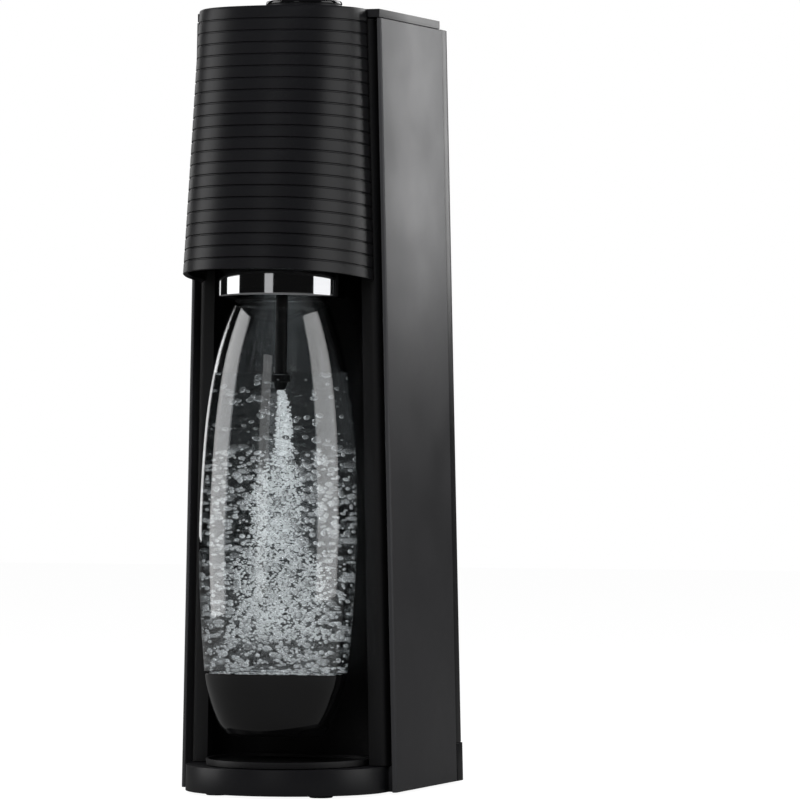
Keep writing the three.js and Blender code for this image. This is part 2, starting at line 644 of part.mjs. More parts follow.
function valveBlock() {
  const half = BLOCK_WIDTH / 2;
  const bridge = block(-half, half, BLOCK_FRONT, BLOCK_BACK, BLOCK_BOTTOM, BLOCK_TOP);
  const leg = (side) =>
    block(
      Math.min(side * half, side * (half - BLOCK_LEG)),
      Math.max(side * half, side * (half - BLOCK_LEG)),
      BLOCK_FRONT,
      BLOCK_BACK,
      BRACKET_TOP + GAP,
      BLOCK_BOTTOM + 1,
    );
  const bore = rod(ACTUATOR_RADIUS + SLIP, BLOCK_BOTTOM - 5, BLOCK_TOP + 5, 0, CYLINDER_Y, 12);
  const recess = rod(VALVE_RADIUS + GAP, BLOCK_BOTTOM - 5, BLOCK_BOTTOM + SEAT_RECESS, 0, CYLINDER_Y, 24);
  const pinHole = crossRod(LEVER_PIN_RADIUS + GAP, -half - 5, half + 5, LEVER_PIVOT_Y, LEVER_PIVOT_Z);
  const port = new THREE.CylinderGeometry(HOSE_RADIUS + GAP, HOSE_RADIUS + GAP, 8, 12).translate(0, BLOCK_FRONT, PORT_Z);
  const screwBores = blockScrewPlaces.map(([x, y]) => rod(SCREW_RADIUS / 2 + GAP, BLOCK_TOP - 12, HEIGHT, x, y, 8));
  const reliefBore = rod(RELIEF_RADIUS + GAP, BLOCK_TOP - 6, HEIGHT, ...reliefPlace, 12);
  return cut(join(bridge, leg(-1), leg(1)), bore, recess, pinHole, reliefBore, port, ...screwBores);
}
place("valve_block", valveBlock(), aluminium);

const seal = ring(4, VALVE_RADIUS - GAP, BLOCK_BOTTOM + 0.3, BLOCK_BOTTOM + SEAT_RECESS - GAP, 20);
place("valve_seal", moved(seal, 0, CYLINDER_Y, 0), rubber);

const leverPinHalf = BLOCK_WIDTH / 2 + LEVER_THICKNESS + 1.5;
place("lever_pin", crossRod(LEVER_PIN_RADIUS, -leverPinHalf, leverPinHalf, LEVER_PIVOT_Y, LEVER_PIVOT_Z), steel);

function reliefValve() {
  const stem = rod(RELIEF_RADIUS, BLOCK_TOP - 5.5, BLOCK_TOP + 3, 0, 0, 12);
  const hex = rod(RELIEF_RADIUS + 1.5, BLOCK_TOP + GAP, BLOCK_TOP + 4, 0, 0, 6);
  return moved(join(stem, hex), ...reliefPlace, 0);
}
place("relief_valve", reliefValve(), brass);

blockScrewPlaces.forEach(([x, y], i) => {
  const head = rod(SCREW_RADIUS, BLOCK_TOP + GAP, BLOCK_TOP + 2.4, 0, 0, 12);
  const shank = rod(SCREW_RADIUS / 2, BLOCK_TOP - 11, BLOCK_TOP + 1, 0, 0, 8);
  place(`block_screw_${i + 1}`, moved(join(head, shank), x, y, 0), steel);
});

// The lever that locks the cylinder: two arms and a bar across the back.
function cylinderLever() {
  const inner = BLOCK_WIDTH / 2 + GAP;
  const outer = inner + LEVER_THICKNESS;
  const arm = (side) => {
    const x0 = Math.min(side * inner, side * outer);
    const x1 = Math.max(side * inner, side * outer);
    const run = block(x0, x1, 0, LEVER_ARM, -LEVER_WIDTH / 2, LEVER_WIDTH / 2);
    return join(run, crossRod(LEVER_EYE_RADIUS, x0, x1, 0, 0));
  };
  const bar = crossRod(LEVER_BAR_RADIUS, -outer, outer, LEVER_ARM, 0);
  const hole = crossRod(LEVER_PIN_RADIUS + GAP, -outer - 5, outer + 5, 0, 0);
  const lever = cut(join(arm(-1), arm(1), bar), hole);
  return lever.rotateX(THREE.MathUtils.degToRad(-LEVER_REST));
}
place("cylinder_lever", moved(cylinderLever(), 0, LEVER_PIVOT_Y, LEVER_PIVOT_Z), pink);

// ---------------------------------------------------------------- rocker: the button's push reaches the valve
const HUB_RADIUS = 5;
const PIN_OVERHANG = 1;
const rockerBore = () =>
  crossRod(ROCKER_PIN_RADIUS + GAP / 2, -2 * ROCKER_WIDTH, 2 * ROCKER_WIDTH, ROCKER_Y, ROCKER_Z);

function rockerBracket() {
  const low = BLOCK_TOP + GAP;
  const foot = block(-ROCKER_WIDTH, ROCKER_WIDTH, CYLINDER_Y + 7, ROCKER_Y + HUB_RADIUS + 1, low, low + 2.5);
  const cheek = (side) => {
    const near = side * (ROCKER_WIDTH / 2 + SLIP);
    const far = side * ROCKER_WIDTH;
    const x0 = Math.min(near, far);
    const x1 = Math.max(near, far);
    const upright = block(x0, x1, ROCKER_Y - HUB_RADIUS, ROCKER_Y + HUB_RADIUS, low, ROCKER_Z);
    return join(upright, crossRod(HUB_RADIUS, x0, x1, ROCKER_Y, ROCKER_Z));
  };
  return cut(join(foot, cheek(-1), cheek(1)), rockerBore());
}

function rockerLever() {
  const half = ROCKER_WIDTH / 2;
  const beam = sideways(
    [
      [BUTTON_Y - 6, ROCKER_TOP - 3],
      [BUTTON_Y + 6, ROCKER_BOTTOM],
      [ROCKER_Y, ROCKER_BOTTOM],
      [ROCKER_Y, ROCKER_TOP],
      [BUTTON_Y - 6, ROCKER_TOP],
    ],
    -half,
    half,
  );
  const hub = crossRod(HUB_RADIUS, -half, half, ROCKER_Y, ROCKER_Z);
  return cut(join(beam, hub), rockerBore());
}
place("rocker_bracket", rockerBracket(), steel);
const pinHalf = ROCKER_WIDTH + PIN_OVERHANG;
place("rocker_pin", crossRod(ROCKER_PIN_RADIUS, -pinHalf, pinHalf, ROCKER_Y, ROCKER_Z), steel);
place("rocker_lever", rockerLever(), steel);

function actuatorPin() {
  const high = ROCKER_BOTTOM - SLIP;
  const shank = rod(ACTUATOR_RADIUS, BLOCK_BOTTOM + GAP, high, 0, 0, 12);
  const head = rod(ACTUATOR_RADIUS + 2, high - 1.4, high, 0, 0, 12);
  return moved(join(shank, head), 0, CYLINDER_Y, 0);
}
place("actuator_pin", actuatorPin(), steel);

// ---------------------------------------------------------------- button
const BUTTON_LOW = TOP_Z - BUTTON_SKIRT + BUTTON_TRAVEL;
const STEM_LOW = ROCKER_TOP + 0.7;

function carbonatingButton() {
  const crown = HEIGHT - RIM_HEIGHT;
  const puck = turned([
    [0, BUTTON_LOW + BUTTON_ROOF],
    [BUTTON_RADIUS - WALL, BUTTON_LOW + BUTTON_ROOF],
    [BUTTON_RADIUS - WALL, BUTTON_LOW],
    [BUTTON_RADIUS, BUTTON_LOW],
    [BUTTON_RADIUS, crown],
    [BUTTON_RADIUS - RIM_WIDTH - GAP, crown],
    [BUTTON_RADIUS - RIM_WIDTH - GAP, HEIGHT - 0.8],
    [0, HEIGHT - 0.2],
  ]);
  return moved(puck, 0, BUTTON_Y, 0);
}

function buttonRim() {
  const outer = BUTTON_RADIUS;
  const inner = BUTTON_RADIUS - RIM_WIDTH;
  const low = HEIGHT - RIM_HEIGHT + GAP;
  const profile = [
    [inner, low],
    [outer, low],
    [outer, HEIGHT - 0.9],
    [outer - 0.5, HEIGHT - 0.1],
    [inner + 0.4, HEIGHT],
    [inner, HEIGHT - 0.3],
    [inner, low],
  ];
  return moved(turned(profile), 0, BUTTON_Y, 0);
}
place("carbonating_button", carbonatingButton(), satinBlack);
place("button_rim", buttonRim(), glossBlack);
place("button_stem", rod(STEM_RADIUS, STEM_LOW, BUTTON_LOW + BUTTON_ROOF - GAP, 0, BUTTON_Y, 16), mattBlack);

const SPRING_LOW = TOP_Z - BUTTON_SKIRT - 2;
const springWire = 0.7;
const springRise = BUTTON_LOW + BUTTON_ROOF - SPRING_LOW - 2 * springWire - 2 * GAP;
const buttonSpring = coil(6, springRise, 4, springWire);
place("button_spring", moved(buttonSpring, 0, BUTTON_Y, SPRING_LOW + springWire + GAP), steel);

// ---------------------------------------------------------------- hinge and gas line
const AXLE_HALF = FRAME_HALF * narrowing(HINGE_Z) - 0.5;
const ELBOW_RADIUS = 4.5;
const BARB_RISE = 14;
place("hinge_axle", crossRod(AXLE_RADIUS, -AXLE_HALF, AXLE_HALF, HINGE_Y, HINGE_Z), steel);

function gasElbow() {
  const sleeve = crossRod(ELBOW_RADIUS, -6, 6, HINGE_Y, HINGE_Z);
  const barb = rod(HOSE_RADIUS, HINGE_Z, HINGE_Z + BARB_RISE, 0, HINGE_Y, 12);
  const bore = crossRod(AXLE_RADIUS + GAP / 2, -10, 10, HINGE_Y, HINGE_Z);
  return cut(join(sleeve, barb), bore);
}
place("gas_elbow", gasElbow(), brass);

function gasHose() {
  const start = new THREE.Vector3(0, BLOCK_FRONT - GAP, PORT_Z);
  const end = new THREE.Vector3(0, HINGE_Y, HINGE_Z + BARB_RISE + GAP);
  const curve = new THREE.CubicBezierCurve3(
    start,
    new THREE.Vector3(0, HINGE_Y - 4, PORT_Z),
    new THREE.Vector3(0, HINGE_Y, HINGE_Z + 40),
    end,
  );
  return along(curve, HOSE_RADIUS, 12, 8);
}
place("gas_hose", gasHose(), mattBlack);

// ---------------------------------------------------------------- bottle holder, hangs from the hinge and leans a little
const holder = new THREE.Group();
holder.position.set(0, HINGE_Y, HINGE_Z);
holder.rotation.x = THREE.MathUtils.degToRad(-LEAN);
machine.add(holder);

const onAxis = (geometry) => moved(geometry, 0, -AXIS_REACH, 0);
const ROOF_TOP = ROOF_LOW + HOUSING_ROOF;
const HOUSING_RADIUS = COLLAR_RADIUS - COLLAR_WALL - GAP;
const SHOULDER_BORE = 27; // room for the bottle's shoulder under the roof

function chromeCollar() {
  return ring(COLLAR_RADIUS - COLLAR_WALL, COLLAR_RADIUS, COLLAR_LOW, COLLAR_LOW + COLLAR_HEIGHT, 40);
}

function collarHousing() {
  const low = COLLAR_LOW + 1;
  const cup = turned([
    [SHOULDER_BORE, low],
    [HOUSING_RADIUS, low],
    [HOUSING_RADIUS, ROOF_LOW],
    [COLLAR_RADIUS, ROOF_LOW],
    [COLLAR_RADIUS, ROOF_TOP],
    [TUBE_RADIUS + GAP, ROOF_TOP],
    [TUBE_RADIUS + GAP, ROOF_LOW],
    [NECK_RADIUS + 2, ROOF_LOW],
    [NECK_RADIUS + 2, low + 8],
    [SHOULDER_BORE, low + 2],
    [SHOULDER_BORE, low],
  ]);
  const ears = [-1, 1].map((side) => {
    const near = side * EAR_X;
    const far = side * (EAR_X + EAR_THICKNESS);
    const x0 = Math.min(near, far);
    const x1 = Math.max(near, far);
    const web = block(x0, x1, -AXIS_REACH + 8, EAR_RADIUS, ROOF_LOW, ROOF_TOP);
    const low = ROOF_LOW + 1;
    const neck = sideways([[-AXIS_REACH / 2, low], [EAR_RADIUS, low], [EAR_RADIUS, 0], [-EAR_RADIUS, 0]], x0, x1);
    return [web, neck, crossRod(EAR_RADIUS, x0, x1, 0, 0)];
  });
  const bore = crossRod(AXLE_RADIUS + SLIP, -60, 60, 0, 0);
  return cut(join(onAxis(cup), ...ears.flat()), bore);
}
place("chrome_collar", onAxis(chromeCollar()), chrome, holder);
place("collar_housing", collarHousing(), mattBlack, holder);
const bottleSeal = ring(TUBE_RADIUS + 4, NECK_RADIUS - 0.5, MOUTH + GAP, ROOF_LOW - GAP, 24);
place("bottle_seal", onAxis(bottleSeal), rubber, holder);

const TUBE_LOW = ROOF_LOW - TUBE_LENGTH;
function carbonationTube() {
  return ring(TUBE_BORE, TUBE_RADIUS, TUBE_LOW, ROOF_TOP + 5, 16);
}

function nozzleTip() {
  const high = TUBE_LOW - GAP;
  return turned([
    [TUBE_BORE, high],
    [TUBE_BORE, high - TIP_LENGTH],
    [2, high - TIP_LENGTH],
    [TUBE_RADIUS - 0.4, high - 4],
    [TUBE_RADIUS + 0.6, high - 3.4],
    [TUBE_RADIUS + 0.6, high],
    [TUBE_BORE, high],
  ], 16);
}
place("carbonation_tube", onAxis(carbonationTube()), mattBlack, holder);
place("nozzle_tip", onAxis(nozzleTip()), mattBlack, holder);

// A short pipe carries gas from a sleeve on the axle to the top of the tube.
function inletPipe() {
  const high = ROOF_TOP + 5 + GAP;
  const cap = rod(5, high, high + 6, 0, -AXIS_REACH, 16);
  const run = along(
    new THREE.QuadraticBezierCurve3(
      new THREE.Vector3(0, -AXIS_REACH, high + 3),
      new THREE.Vector3(13, -AXIS_REACH + 12, high + 3),
      new THREE.Vector3(13, 0, 0),
    ),
    2.2,
    8,
    8,
  );
  const sleeve = crossRod(ELBOW_RADIUS, 8, 18, 0, 0);
  const bore = crossRod(AXLE_RADIUS + SLIP, 0, 30, 0, 0);
  return cut(join(cap, run, sleeve), bore);
}
place("inlet_pipe", inletPipe(), steel, holder);

function holderSpring() {
  const wire = 0.8;
  return coil(AXLE_RADIUS + SLIP + wire + 0.6, 8, 3, wire).rotateY(Math.PI / 2).translate(-24, HINGE_Y, HINGE_Z);
}
place("holder_spring", holderSpring(), steel);

// ---------------------------------------------------------------- bottle
// Its outline: the body as [radius, share of the body's height], then the shoulder, which fits the holder.
const BODY_TOP = COLLAR_LOW - 34.3;
const bodyHeight = BODY_TOP - BOTTLE_LOW;
const outlineCurve = new THREE.SplineCurve(
  [
    ...[
      [BOTTLE_RADIUS - 16.5, 0.0064],
      [BOTTLE_RADIUS - 12.2, 0.0357],
      [BOTTLE_RADIUS - 7.6, 0.0957],
      [BOTTLE_RADIUS - 4.2, 0.172],
      [BOTTLE_RADIUS - 1.2, 0.363],
      [BOTTLE_RADIUS, 0.529],
      [BOTTLE_RADIUS - 0.9, 0.701],
      [BOTTLE_RADIUS - 3.0, 0.854],
    ].map(([radius, share]) => [radius, BOTTLE_LOW + share * bodyHeight]),
    [BOTTLE_RADIUS - 7.4, BODY_TOP],
    [SHOULDER_BORE + 3, COLLAR_LOW - 13.7],
    [SHOULDER_BORE - 3.6, COLLAR_LOW + 3.1],
  ].map(([radius, z]) => new THREE.Vector2(radius, z)),
);
const outline = outlineCurve.getPoints(14).map((point) => [point.x, point.y]);
const bottleFoot = [BOTTLE_RADIUS - 17.6, BOTTLE_LOW];
const SEAM_Z = BOTTLE_LOW + CUP_HEIGHT;
const inwards = (points, depth) => points.map(([radius, z]) => [radius - depth, z]);

function radiusAt(height) {
  const next = outline.findIndex(([, z]) => z > height);
  const [r0, z0] = outline[next - 1];
  const [r1, z1] = outline[next];
  return r0 + ((r1 - r0) * (height - z0)) / (z1 - z0);
}

function bottleBody() {
  const floor = BOTTLE_LOW + CUP_WALL + 1.5;
  const inCup = CUP_WALL + GAP;
  const above = outline.filter(([, z]) => z > SEAM_Z + GAP);
  const below = inwards(outline.filter(([, z]) => z <= SEAM_Z - 1 && z > floor), inCup);
  const seamRadius = above[0][0];
  const neckLow = COLLAR_LOW + 10;
  const innerFloor = floor + BOTTLE_WALL;
  const innerWall = inwards([...below, ...above], BOTTLE_WALL).filter(([, z]) => z > innerFloor).reverse();
  return turned([
    [0, floor],
    [radiusAt(floor) - inCup, floor],
    ...below,
    [below[below.length - 1][0], SEAM_Z + GAP],
    [seamRadius, SEAM_Z + GAP],
    ...above,
    [NECK_RADIUS, neckLow],
    [NECK_RADIUS, MOUTH],
    [NECK_RADIUS - NECK_WALL, MOUTH],
    [NECK_RADIUS - NECK_WALL, neckLow],
    ...innerWall,
    [radiusAt(innerFloor) - inCup - BOTTLE_WALL, innerFloor],
    [0, innerFloor],
  ]);
}

function bottleCup() {
  const outside = [bottleFoot, ...outline.filter(([, z]) => z < SEAM_Z)];
  const inside = inwards(outside.slice(1), CUP_WALL).reverse();
  const rim = outside[outside.length - 1][0];
  return turned([
    [0, BOTTLE_LOW],
    ...outside,
    [rim + 0.1, SEAM_Z],
    [rim - CUP_WALL, SEAM_Z],
    ...inside,
    [bottleFoot[0] - 1, BOTTLE_LOW + CUP_WALL],
    [0, BOTTLE_LOW + CUP_WALL],
  ]);
}
place("bottle_body", onAxis(bottleBody()), clear, holder);
place("bottle_base_cup", onAxis(bottleCup()), glossBlack, holder);

export default machine;
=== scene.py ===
# %% [markdown]
# # A bottle carbonator
# This lesson dresses a worktop soda machine. Its solids and joints are already made, so the first
# cell loads them as a fixed frame. Each later cell adds one piece or one finish, and every piece
# takes its size and place from that frame. The maker's own sizes are in millimetres, and MM turns
# them into Blender's metres.

# %% Load the frame
import json
import math
import random

import bmesh
import bpy
from mathutils import Matrix, Vector, geometry


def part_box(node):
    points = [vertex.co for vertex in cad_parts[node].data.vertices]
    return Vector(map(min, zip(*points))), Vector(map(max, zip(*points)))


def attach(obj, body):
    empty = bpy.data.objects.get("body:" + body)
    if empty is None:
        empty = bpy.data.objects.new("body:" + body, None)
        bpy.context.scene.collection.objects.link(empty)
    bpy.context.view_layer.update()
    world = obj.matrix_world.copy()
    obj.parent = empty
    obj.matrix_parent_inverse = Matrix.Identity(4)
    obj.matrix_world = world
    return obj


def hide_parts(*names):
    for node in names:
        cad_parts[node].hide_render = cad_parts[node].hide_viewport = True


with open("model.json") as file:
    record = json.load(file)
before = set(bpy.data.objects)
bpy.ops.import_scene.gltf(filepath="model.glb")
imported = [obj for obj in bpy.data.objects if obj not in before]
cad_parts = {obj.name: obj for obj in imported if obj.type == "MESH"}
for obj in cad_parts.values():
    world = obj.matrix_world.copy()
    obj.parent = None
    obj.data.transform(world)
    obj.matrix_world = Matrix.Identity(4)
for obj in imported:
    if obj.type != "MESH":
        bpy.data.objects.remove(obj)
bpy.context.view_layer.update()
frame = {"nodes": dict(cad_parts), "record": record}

MM = 0.001
behaviour = frame["record"]["behaviour"]
joints = {joint["name"]: joint for joint in behaviour["joints"]}
body_of_node = {node: body for body, nodes in behaviour["bodies"].items() for node in nodes}
slot_of_node = {part["node"]: part["material_slot"] for part in frame["record"]["subparts"]}

# %% [markdown]
# ## Helpers for shapes
# Most pieces of this machine are either turned or moulded. A turned piece is a profile that `spin`
# carries once round the axis. A moulded piece has the shape of its solid with soft edges, so it
# starts as a copy of that solid, which is merged and cleaned, and then bevelled. The alternative, a
# Bevel modifier on the solid itself, fails because the frame's meshes are loose triangles.

# %% Add a piece
def add_piece(name, shape, body, finish, stands_for=(), sharp=35):
    """The bmesh becomes an object that rides on a body and stands for the named nodes."""
    mesh = bpy.data.meshes.new(name)
    shape.to_mesh(mesh)
    shape.free()
    mesh.polygons.foreach_set("use_smooth", [True] * len(mesh.polygons))
    mesh.set_sharp_from_angle(angle=math.radians(sharp))
    mesh.materials.append(finish)
    piece = bpy.data.objects.new(name, mesh)
    bpy.context.collection.objects.link(piece)
    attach(piece, body)
    if stands_for:
        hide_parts(*stands_for)
    print(name, len(mesh.polygons), "faces")
    return piece


# %% Turn a profile
WELD = 0.002 * MM


def spun(profile, steps=96):
    """A closed solid from a profile of (radius, height) in mm, turned about Z."""
    shape = bmesh.new()
    points = [shape.verts.new((radius * MM, 0, height * MM)) for radius, height in profile]
    chain = [shape.edges.new(pair) for pair in zip(points, points[1:])]
    bmesh.ops.spin(
        shape,
        geom=points + chain,
        cent=(0, 0, 0),
        axis=(0, 0, 1),
        angle=2 * math.pi,
        steps=steps,
        use_merge=True,
    )
    bmesh.ops.remove_doubles(shape, verts=shape.verts, dist=WELD)
    bmesh.ops.recalc_face_normals(shape, faces=shape.faces)
    return shape


# %% Soften a solid
SOLID_WELD = 0.01 * MM
FLAT_WITHIN = math.radians(2)
CORNER_FROM = math.radians(28)


def softened(node, radius):
    """A copy of a node's solid with its edges rounded."""
    shape = bmesh.new()
    shape.from_mesh(frame["nodes"][node].data)
    bmesh.ops.remove_doubles(shape, verts=shape.verts, dist=SOLID_WELD)
    bmesh.ops.dissolve_limit(shape, angle_limit=FLAT_WITHIN, verts=shape.verts, edges=shape.edges)
    corners = [
        edge
        for edge in shape.edges
        if len(edge.link_faces) == 2 and edge.calc_face_angle() > CORNER_FROM
    ]
    bmesh.ops.bevel(
        shape,
        geom=corners,
        offset=radius * MM,
        offset_type="OFFSET",
        segments=3,
        profile=0.5,
        affect="EDGES",
        clamp_overlap=True,
        material=-1,
    )
    return shape


# %% Draw a smooth line
def smooth_line(points, steps=8):
    """A smooth curve through (radius, height) points, with a few points between each two."""
    line = [Vector(point) for point in points]
    ends = [2 * line[0] - line[1], *line, 2 * line[-1] - line[-2]]
    out = []
    for before, start, end, after in zip(ends, ends[1:], ends[2:], ends[3:]):
        lead = start + (end - before) / 6
        follow = end - (after - start) / 6
        knots = [knot.to_3d() for knot in (start, lead, follow, end)]
        curve = geometry.interpolate_bezier(*knots, steps + 1)
        out += [(point.x, point.y) for point in curve[:-1]]
    return out + [tuple(line[-1])]


# %% [markdown]
# ## Helpers for finishes
# A paint chip is read as an sRGB hex value, but a shader works with linear light, so one function
# converts. `add` puts one node into a material, with its settings and its links, and returns it. A
# Mix node names its float, vector and colour sockets alike, so they are told apart by number: its
# colours are inputs 6 and 7, and output 2.

# %% Colour
def linear(chip):
    """An sRGB hex colour such as 1c1c1e as linear red, green, blue and alpha."""
    parts = [int(chip[i : i + 2], 16) / 255 for i in (0, 2, 4)]
    return tuple(c / 12.92 if c <= 0.04045 else ((c + 0.055) / 1.055) ** 2.4 for c in parts) + (1.0,)


# %% Nodes
def add(finish, kind, sockets=None, **settings):
    """A node in the finish. Sockets take a value, or the output that is linked to them."""
    node = finish.node_tree.nodes.new(kind)
    for name, value in settings.items():
        setattr(node, name, value)
    for name, value in (sockets or {}).items():
        if isinstance(value, bpy.types.NodeSocket):
            finish.node_tree.links.new(value, node.inputs[name])
        else:
            node.inputs[name].default_value = value
    return node


def plug(finish, output, socket):
    finish.node_tree.links.new(output, socket)


# %% A new material
def surface(name, chip, roughness, metallic=0.0, ior=1.5):
    """A new material with its Principled shader set, and the shader itself."""
    finish = bpy.data.materials.new(name)
    finish.use_nodes = True
    shader = finish.node_tree.nodes["Principled BSDF"]
    shader.inputs["Base Color"].default_value = linear(chip)
    shader.inputs["Roughness"].default_value = roughness
    shader.inputs["Metallic"].default_value = metallic
    if metallic < 0.5:
        shader.inputs["IOR"].default_value = ior
    return finish, shader


# %% Grain and wear
CLOUD_SIZE = 35  # mm: how wide the slow changes in shade are


def worn(finish, shader, chips, grain, rough, depth, stretch=(1, 1, 1)):
    """Grain of a real size in mm moves the colour between two chips, the roughness and the relief."""
    coordinates = add(finish, "ShaderNodeTexCoord").outputs["Object"]
    place = add(finish, "ShaderNodeMapping", {"Vector": coordinates, "Scale": stretch}).outputs[0]
    fine = add(finish, "ShaderNodeTexNoise", {"Vector": place, "Scale": 1 / (grain * MM), "Detail": 3.0})
    slow = {"Vector": place, "Scale": 1 / (CLOUD_SIZE * MM), "Detail": 4.0}
    cloud = add(finish, "ShaderNodeTexNoise", slow).outputs["Fac"]
    shades = {0: cloud, 6: linear(chips[0]), 7: linear(chips[1])}
    tint = add(finish, "ShaderNodeMix", shades, data_type="RGBA").outputs[2]
    spread = {"Value": cloud, "From Min": 0.3, "From Max": 0.7, "To Min": rough[0], "To Max": rough[1]}
    polish = add(finish, "ShaderNodeMapRange", spread).outputs[0]
    bumps = {"Height": fine.outputs["Fac"], "Strength": 0.35, "Distance": depth * MM}
    relief = add(finish, "ShaderNodeBump", bumps).outputs[0]
    plug(finish, tint, shader.inputs["Base Color"])
    plug(finish, polish, shader.inputs["Roughness"])
    plug(finish, relief, shader.inputs["Normal"])


# %% [markdown]
# ## Moulded black plastic
# The shell is ABS, moulded in a mould that was lightly spark eroded, which leaves a fine satin
# grain. The grain breaks up reflections, so a softbox turns into a long soft gradient and not a
# mirror image. Three finishes come from the same plastic: satin for the shell, matt for what is
# inside, and polished for the trim.

# %% Black plastics
satin_black, satin_shader = surface("satin_moulded_abs", "121214", 0.36)
worn(satin_black, satin_shader, ("101012", "141416"), 0.35, (0.33, 0.4), 0.012)
satin_shader.inputs["Specular IOR Level"].default_value = 0.4
print(satin_black.name, len(satin_black.node_tree.nodes), "nodes")

matt_black, matt_shader = surface("matt_moulded_abs", "131314", 0.55)
worn(matt_black, matt_shader, ("0e0e0f", "131314"), 0.45, (0.46, 0.58), 0.02)

gloss_black, gloss_shader = surface("polished_abs", "0a0a0b", 0.1)
worn(gloss_black, gloss_shader, ("090909", "0c0c0d"), 3.0, (0.08, 0.13), 0.004)
gloss_shader.inputs["Coat Weight"].default_value = 0.4
gloss_shader.inputs["Coat Roughness"].default_value = 0.04
print(matt_black.name, "and", gloss_black.name)

# %% [markdown]
# ## Satin panels
# The two side panels have a painted finish with a little metal flake in it. Flake lifts the whole
# panel from black to graphite wherever light grazes it, so the finish is about a third metallic,
# with a fine relief.

# %% Panel paint
panel_paint, panel_shader = surface("satin_graphite_paint", "3c3c3e", 0.42, 0.35)
worn(panel_paint, panel_shader, ("38383a", "404042"), 0.3, (0.38, 0.46), 0.01)
print(panel_paint.name, "is", panel_shader.inputs["Metallic"].default_value, "metallic")

# %% [markdown]
# ## Rubber, chrome, steel, brass and aluminium
# Rubber is dull and slightly grey. Chrome plate is almost a mirror, and shows only faint polishing
# lines. Plain steel is brushed, so its noise is stretched across the strokes. Brass and aluminium
# are turned, which leaves fine rings, so their noise is stretched the same way, along Z.

# %% Rubber and metals
rubber, rubber_shader = surface("moulded_nitrile_rubber", "1a1a1a", 0.8, ior=1.52)
worn(rubber, rubber_shader, ("171717", "202020"), 0.6, (0.72, 0.86), 0.04)

chrome, chrome_shader = surface("polished_chrome_plate", "d9dadc", 0.05, 1.0)
worn(chrome, chrome_shader, ("d4d5d8", "dedfe0"), 0.8, (0.035, 0.075), 0.002, (1, 1, 12))

steel, steel_shader = surface("brushed_steel", "a9aaad", 0.3, 1.0)
worn(steel, steel_shader, ("9fa0a3", "b2b3b6"), 0.5, (0.24, 0.36), 0.008, (0.08, 1, 1))

brass, brass_shader = surface("turned_brass", "b8954a", 0.28, 1.0)
worn(brass, brass_shader, ("ac8940", "c2a056"), 0.4, (0.2, 0.34), 0.006, (0.1, 0.1, 1))

aluminium, aluminium_shader = surface("satin_aluminium", "c3c5c8", 0.34, 1.0)
worn(aluminium, aluminium_shader, ("babcc0", "cccdd0"), 0.5, (0.28, 0.4), 0.008, (0.1, 0.1, 1))
print("metals:", ", ".join(finish.name for finish in (chrome, steel, brass, aluminium)))

# %% [markdown]
# ## Magenta parts and the cylinder's sleeve
# The parts that a user may touch at the gas cylinder are magenta: the collar and the lever. The
# printed sleeve is magenta as well, with a pale blue band near its top and a blue foot. A ramp
# along Z paints the bands, with hard steps, because they are printed.

# %% Magenta plastic
magenta, magenta_shader = surface("magenta_moulded_plastic", "d9127c", 0.3, ior=1.49)
worn(magenta, magenta_shader, ("d20f76", "e01884"), 0.6, (0.26, 0.36), 0.01)
print(magenta.name)

# %% Sleeve
sleeve, sleeve_shader = surface("printed_film_sleeve", "e5097f", 0.28)
sleeve_low, sleeve_high = (corner.z for corner in map(Vector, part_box("cylinder_label")))
sleeve_place = add(sleeve, "ShaderNodeTexCoord").outputs["Object"]
height = add(sleeve, "ShaderNodeSeparateXYZ", {"Vector": sleeve_place}).outputs["Z"]
span = {"Value": height, "From Min": sleeve_low, "From Max": sleeve_high}
share = add(sleeve, "ShaderNodeMapRange", span).outputs[0]
bands = add(sleeve, "ShaderNodeValToRGB", {"Fac": share})
bands.color_ramp.interpolation = "CONSTANT"
bands.color_ramp.elements[0].color = linear("0a8fd0")
bands.color_ramp.elements[1].position = 0.24
bands.color_ramp.elements[1].color = linear("e5097f")
for position, chip in ((0.84, "35b6e8"), (0.875, "e5097f")):
    bands.color_ramp.elements.new(position).color = linear(chip)
plug(sleeve, bands.outputs["Color"], sleeve_shader.inputs["Base Color"])
WRINKLE_SIZE = 9
wrinkle = add(sleeve, "ShaderNodeTexNoise", {"Vector": sleeve_place, "Scale": 1 / (WRINKLE_SIZE * MM)})
folds = {"Height": wrinkle.outputs["Fac"], "Strength": 0.2, "Distance": 0.03 * MM}
plug(sleeve, add(sleeve, "ShaderNodeBump", folds).outputs[0], sleeve_shader.inputs["Normal"])
print(sleeve.name, "has", len(bands.color_ramp.elements), "bands")

# %% [markdown]
# ## Clear bottle, water and gas
# The bottle is thick clear copolyester, polished by its mould, and a clear coat doubles the sheen
# of its skin. Water fills it and touches its wall, so the water's surface is drawn a hair inside
# the wall's thickness: two faces that lie together would flicker, and an air gap would turn silver.
# Bubbles are gas inside water, so their IOR is the inverse of water's, 1 / 1.33, which makes each
# one a bright ring. Light scatters between bubbles more often than a render follows it, and a faint
# glow of their own stands in for that.

# %% Bottle and water
def clear(name, chip, roughness, ior, ripple_size, strength, depth):
    """A clear finish whose surface has slow ripples of a real size and depth, in mm."""
    finish, shader = surface(name, chip, roughness, ior=ior)
    shader.inputs["Transmission Weight"].default_value = 1.0
    place = add(finish, "ShaderNodeTexCoord").outputs["Object"]
    ripple = add(finish, "ShaderNodeTexNoise", {"Vector": place, "Scale": 1 / (ripple_size * MM)})
    bumps = {"Height": ripple.outputs["Fac"], "Strength": strength, "Distance": depth * MM}
    plug(finish, add(finish, "ShaderNodeBump", bumps).outputs[0], shader.inputs["Normal"])
    return finish, shader


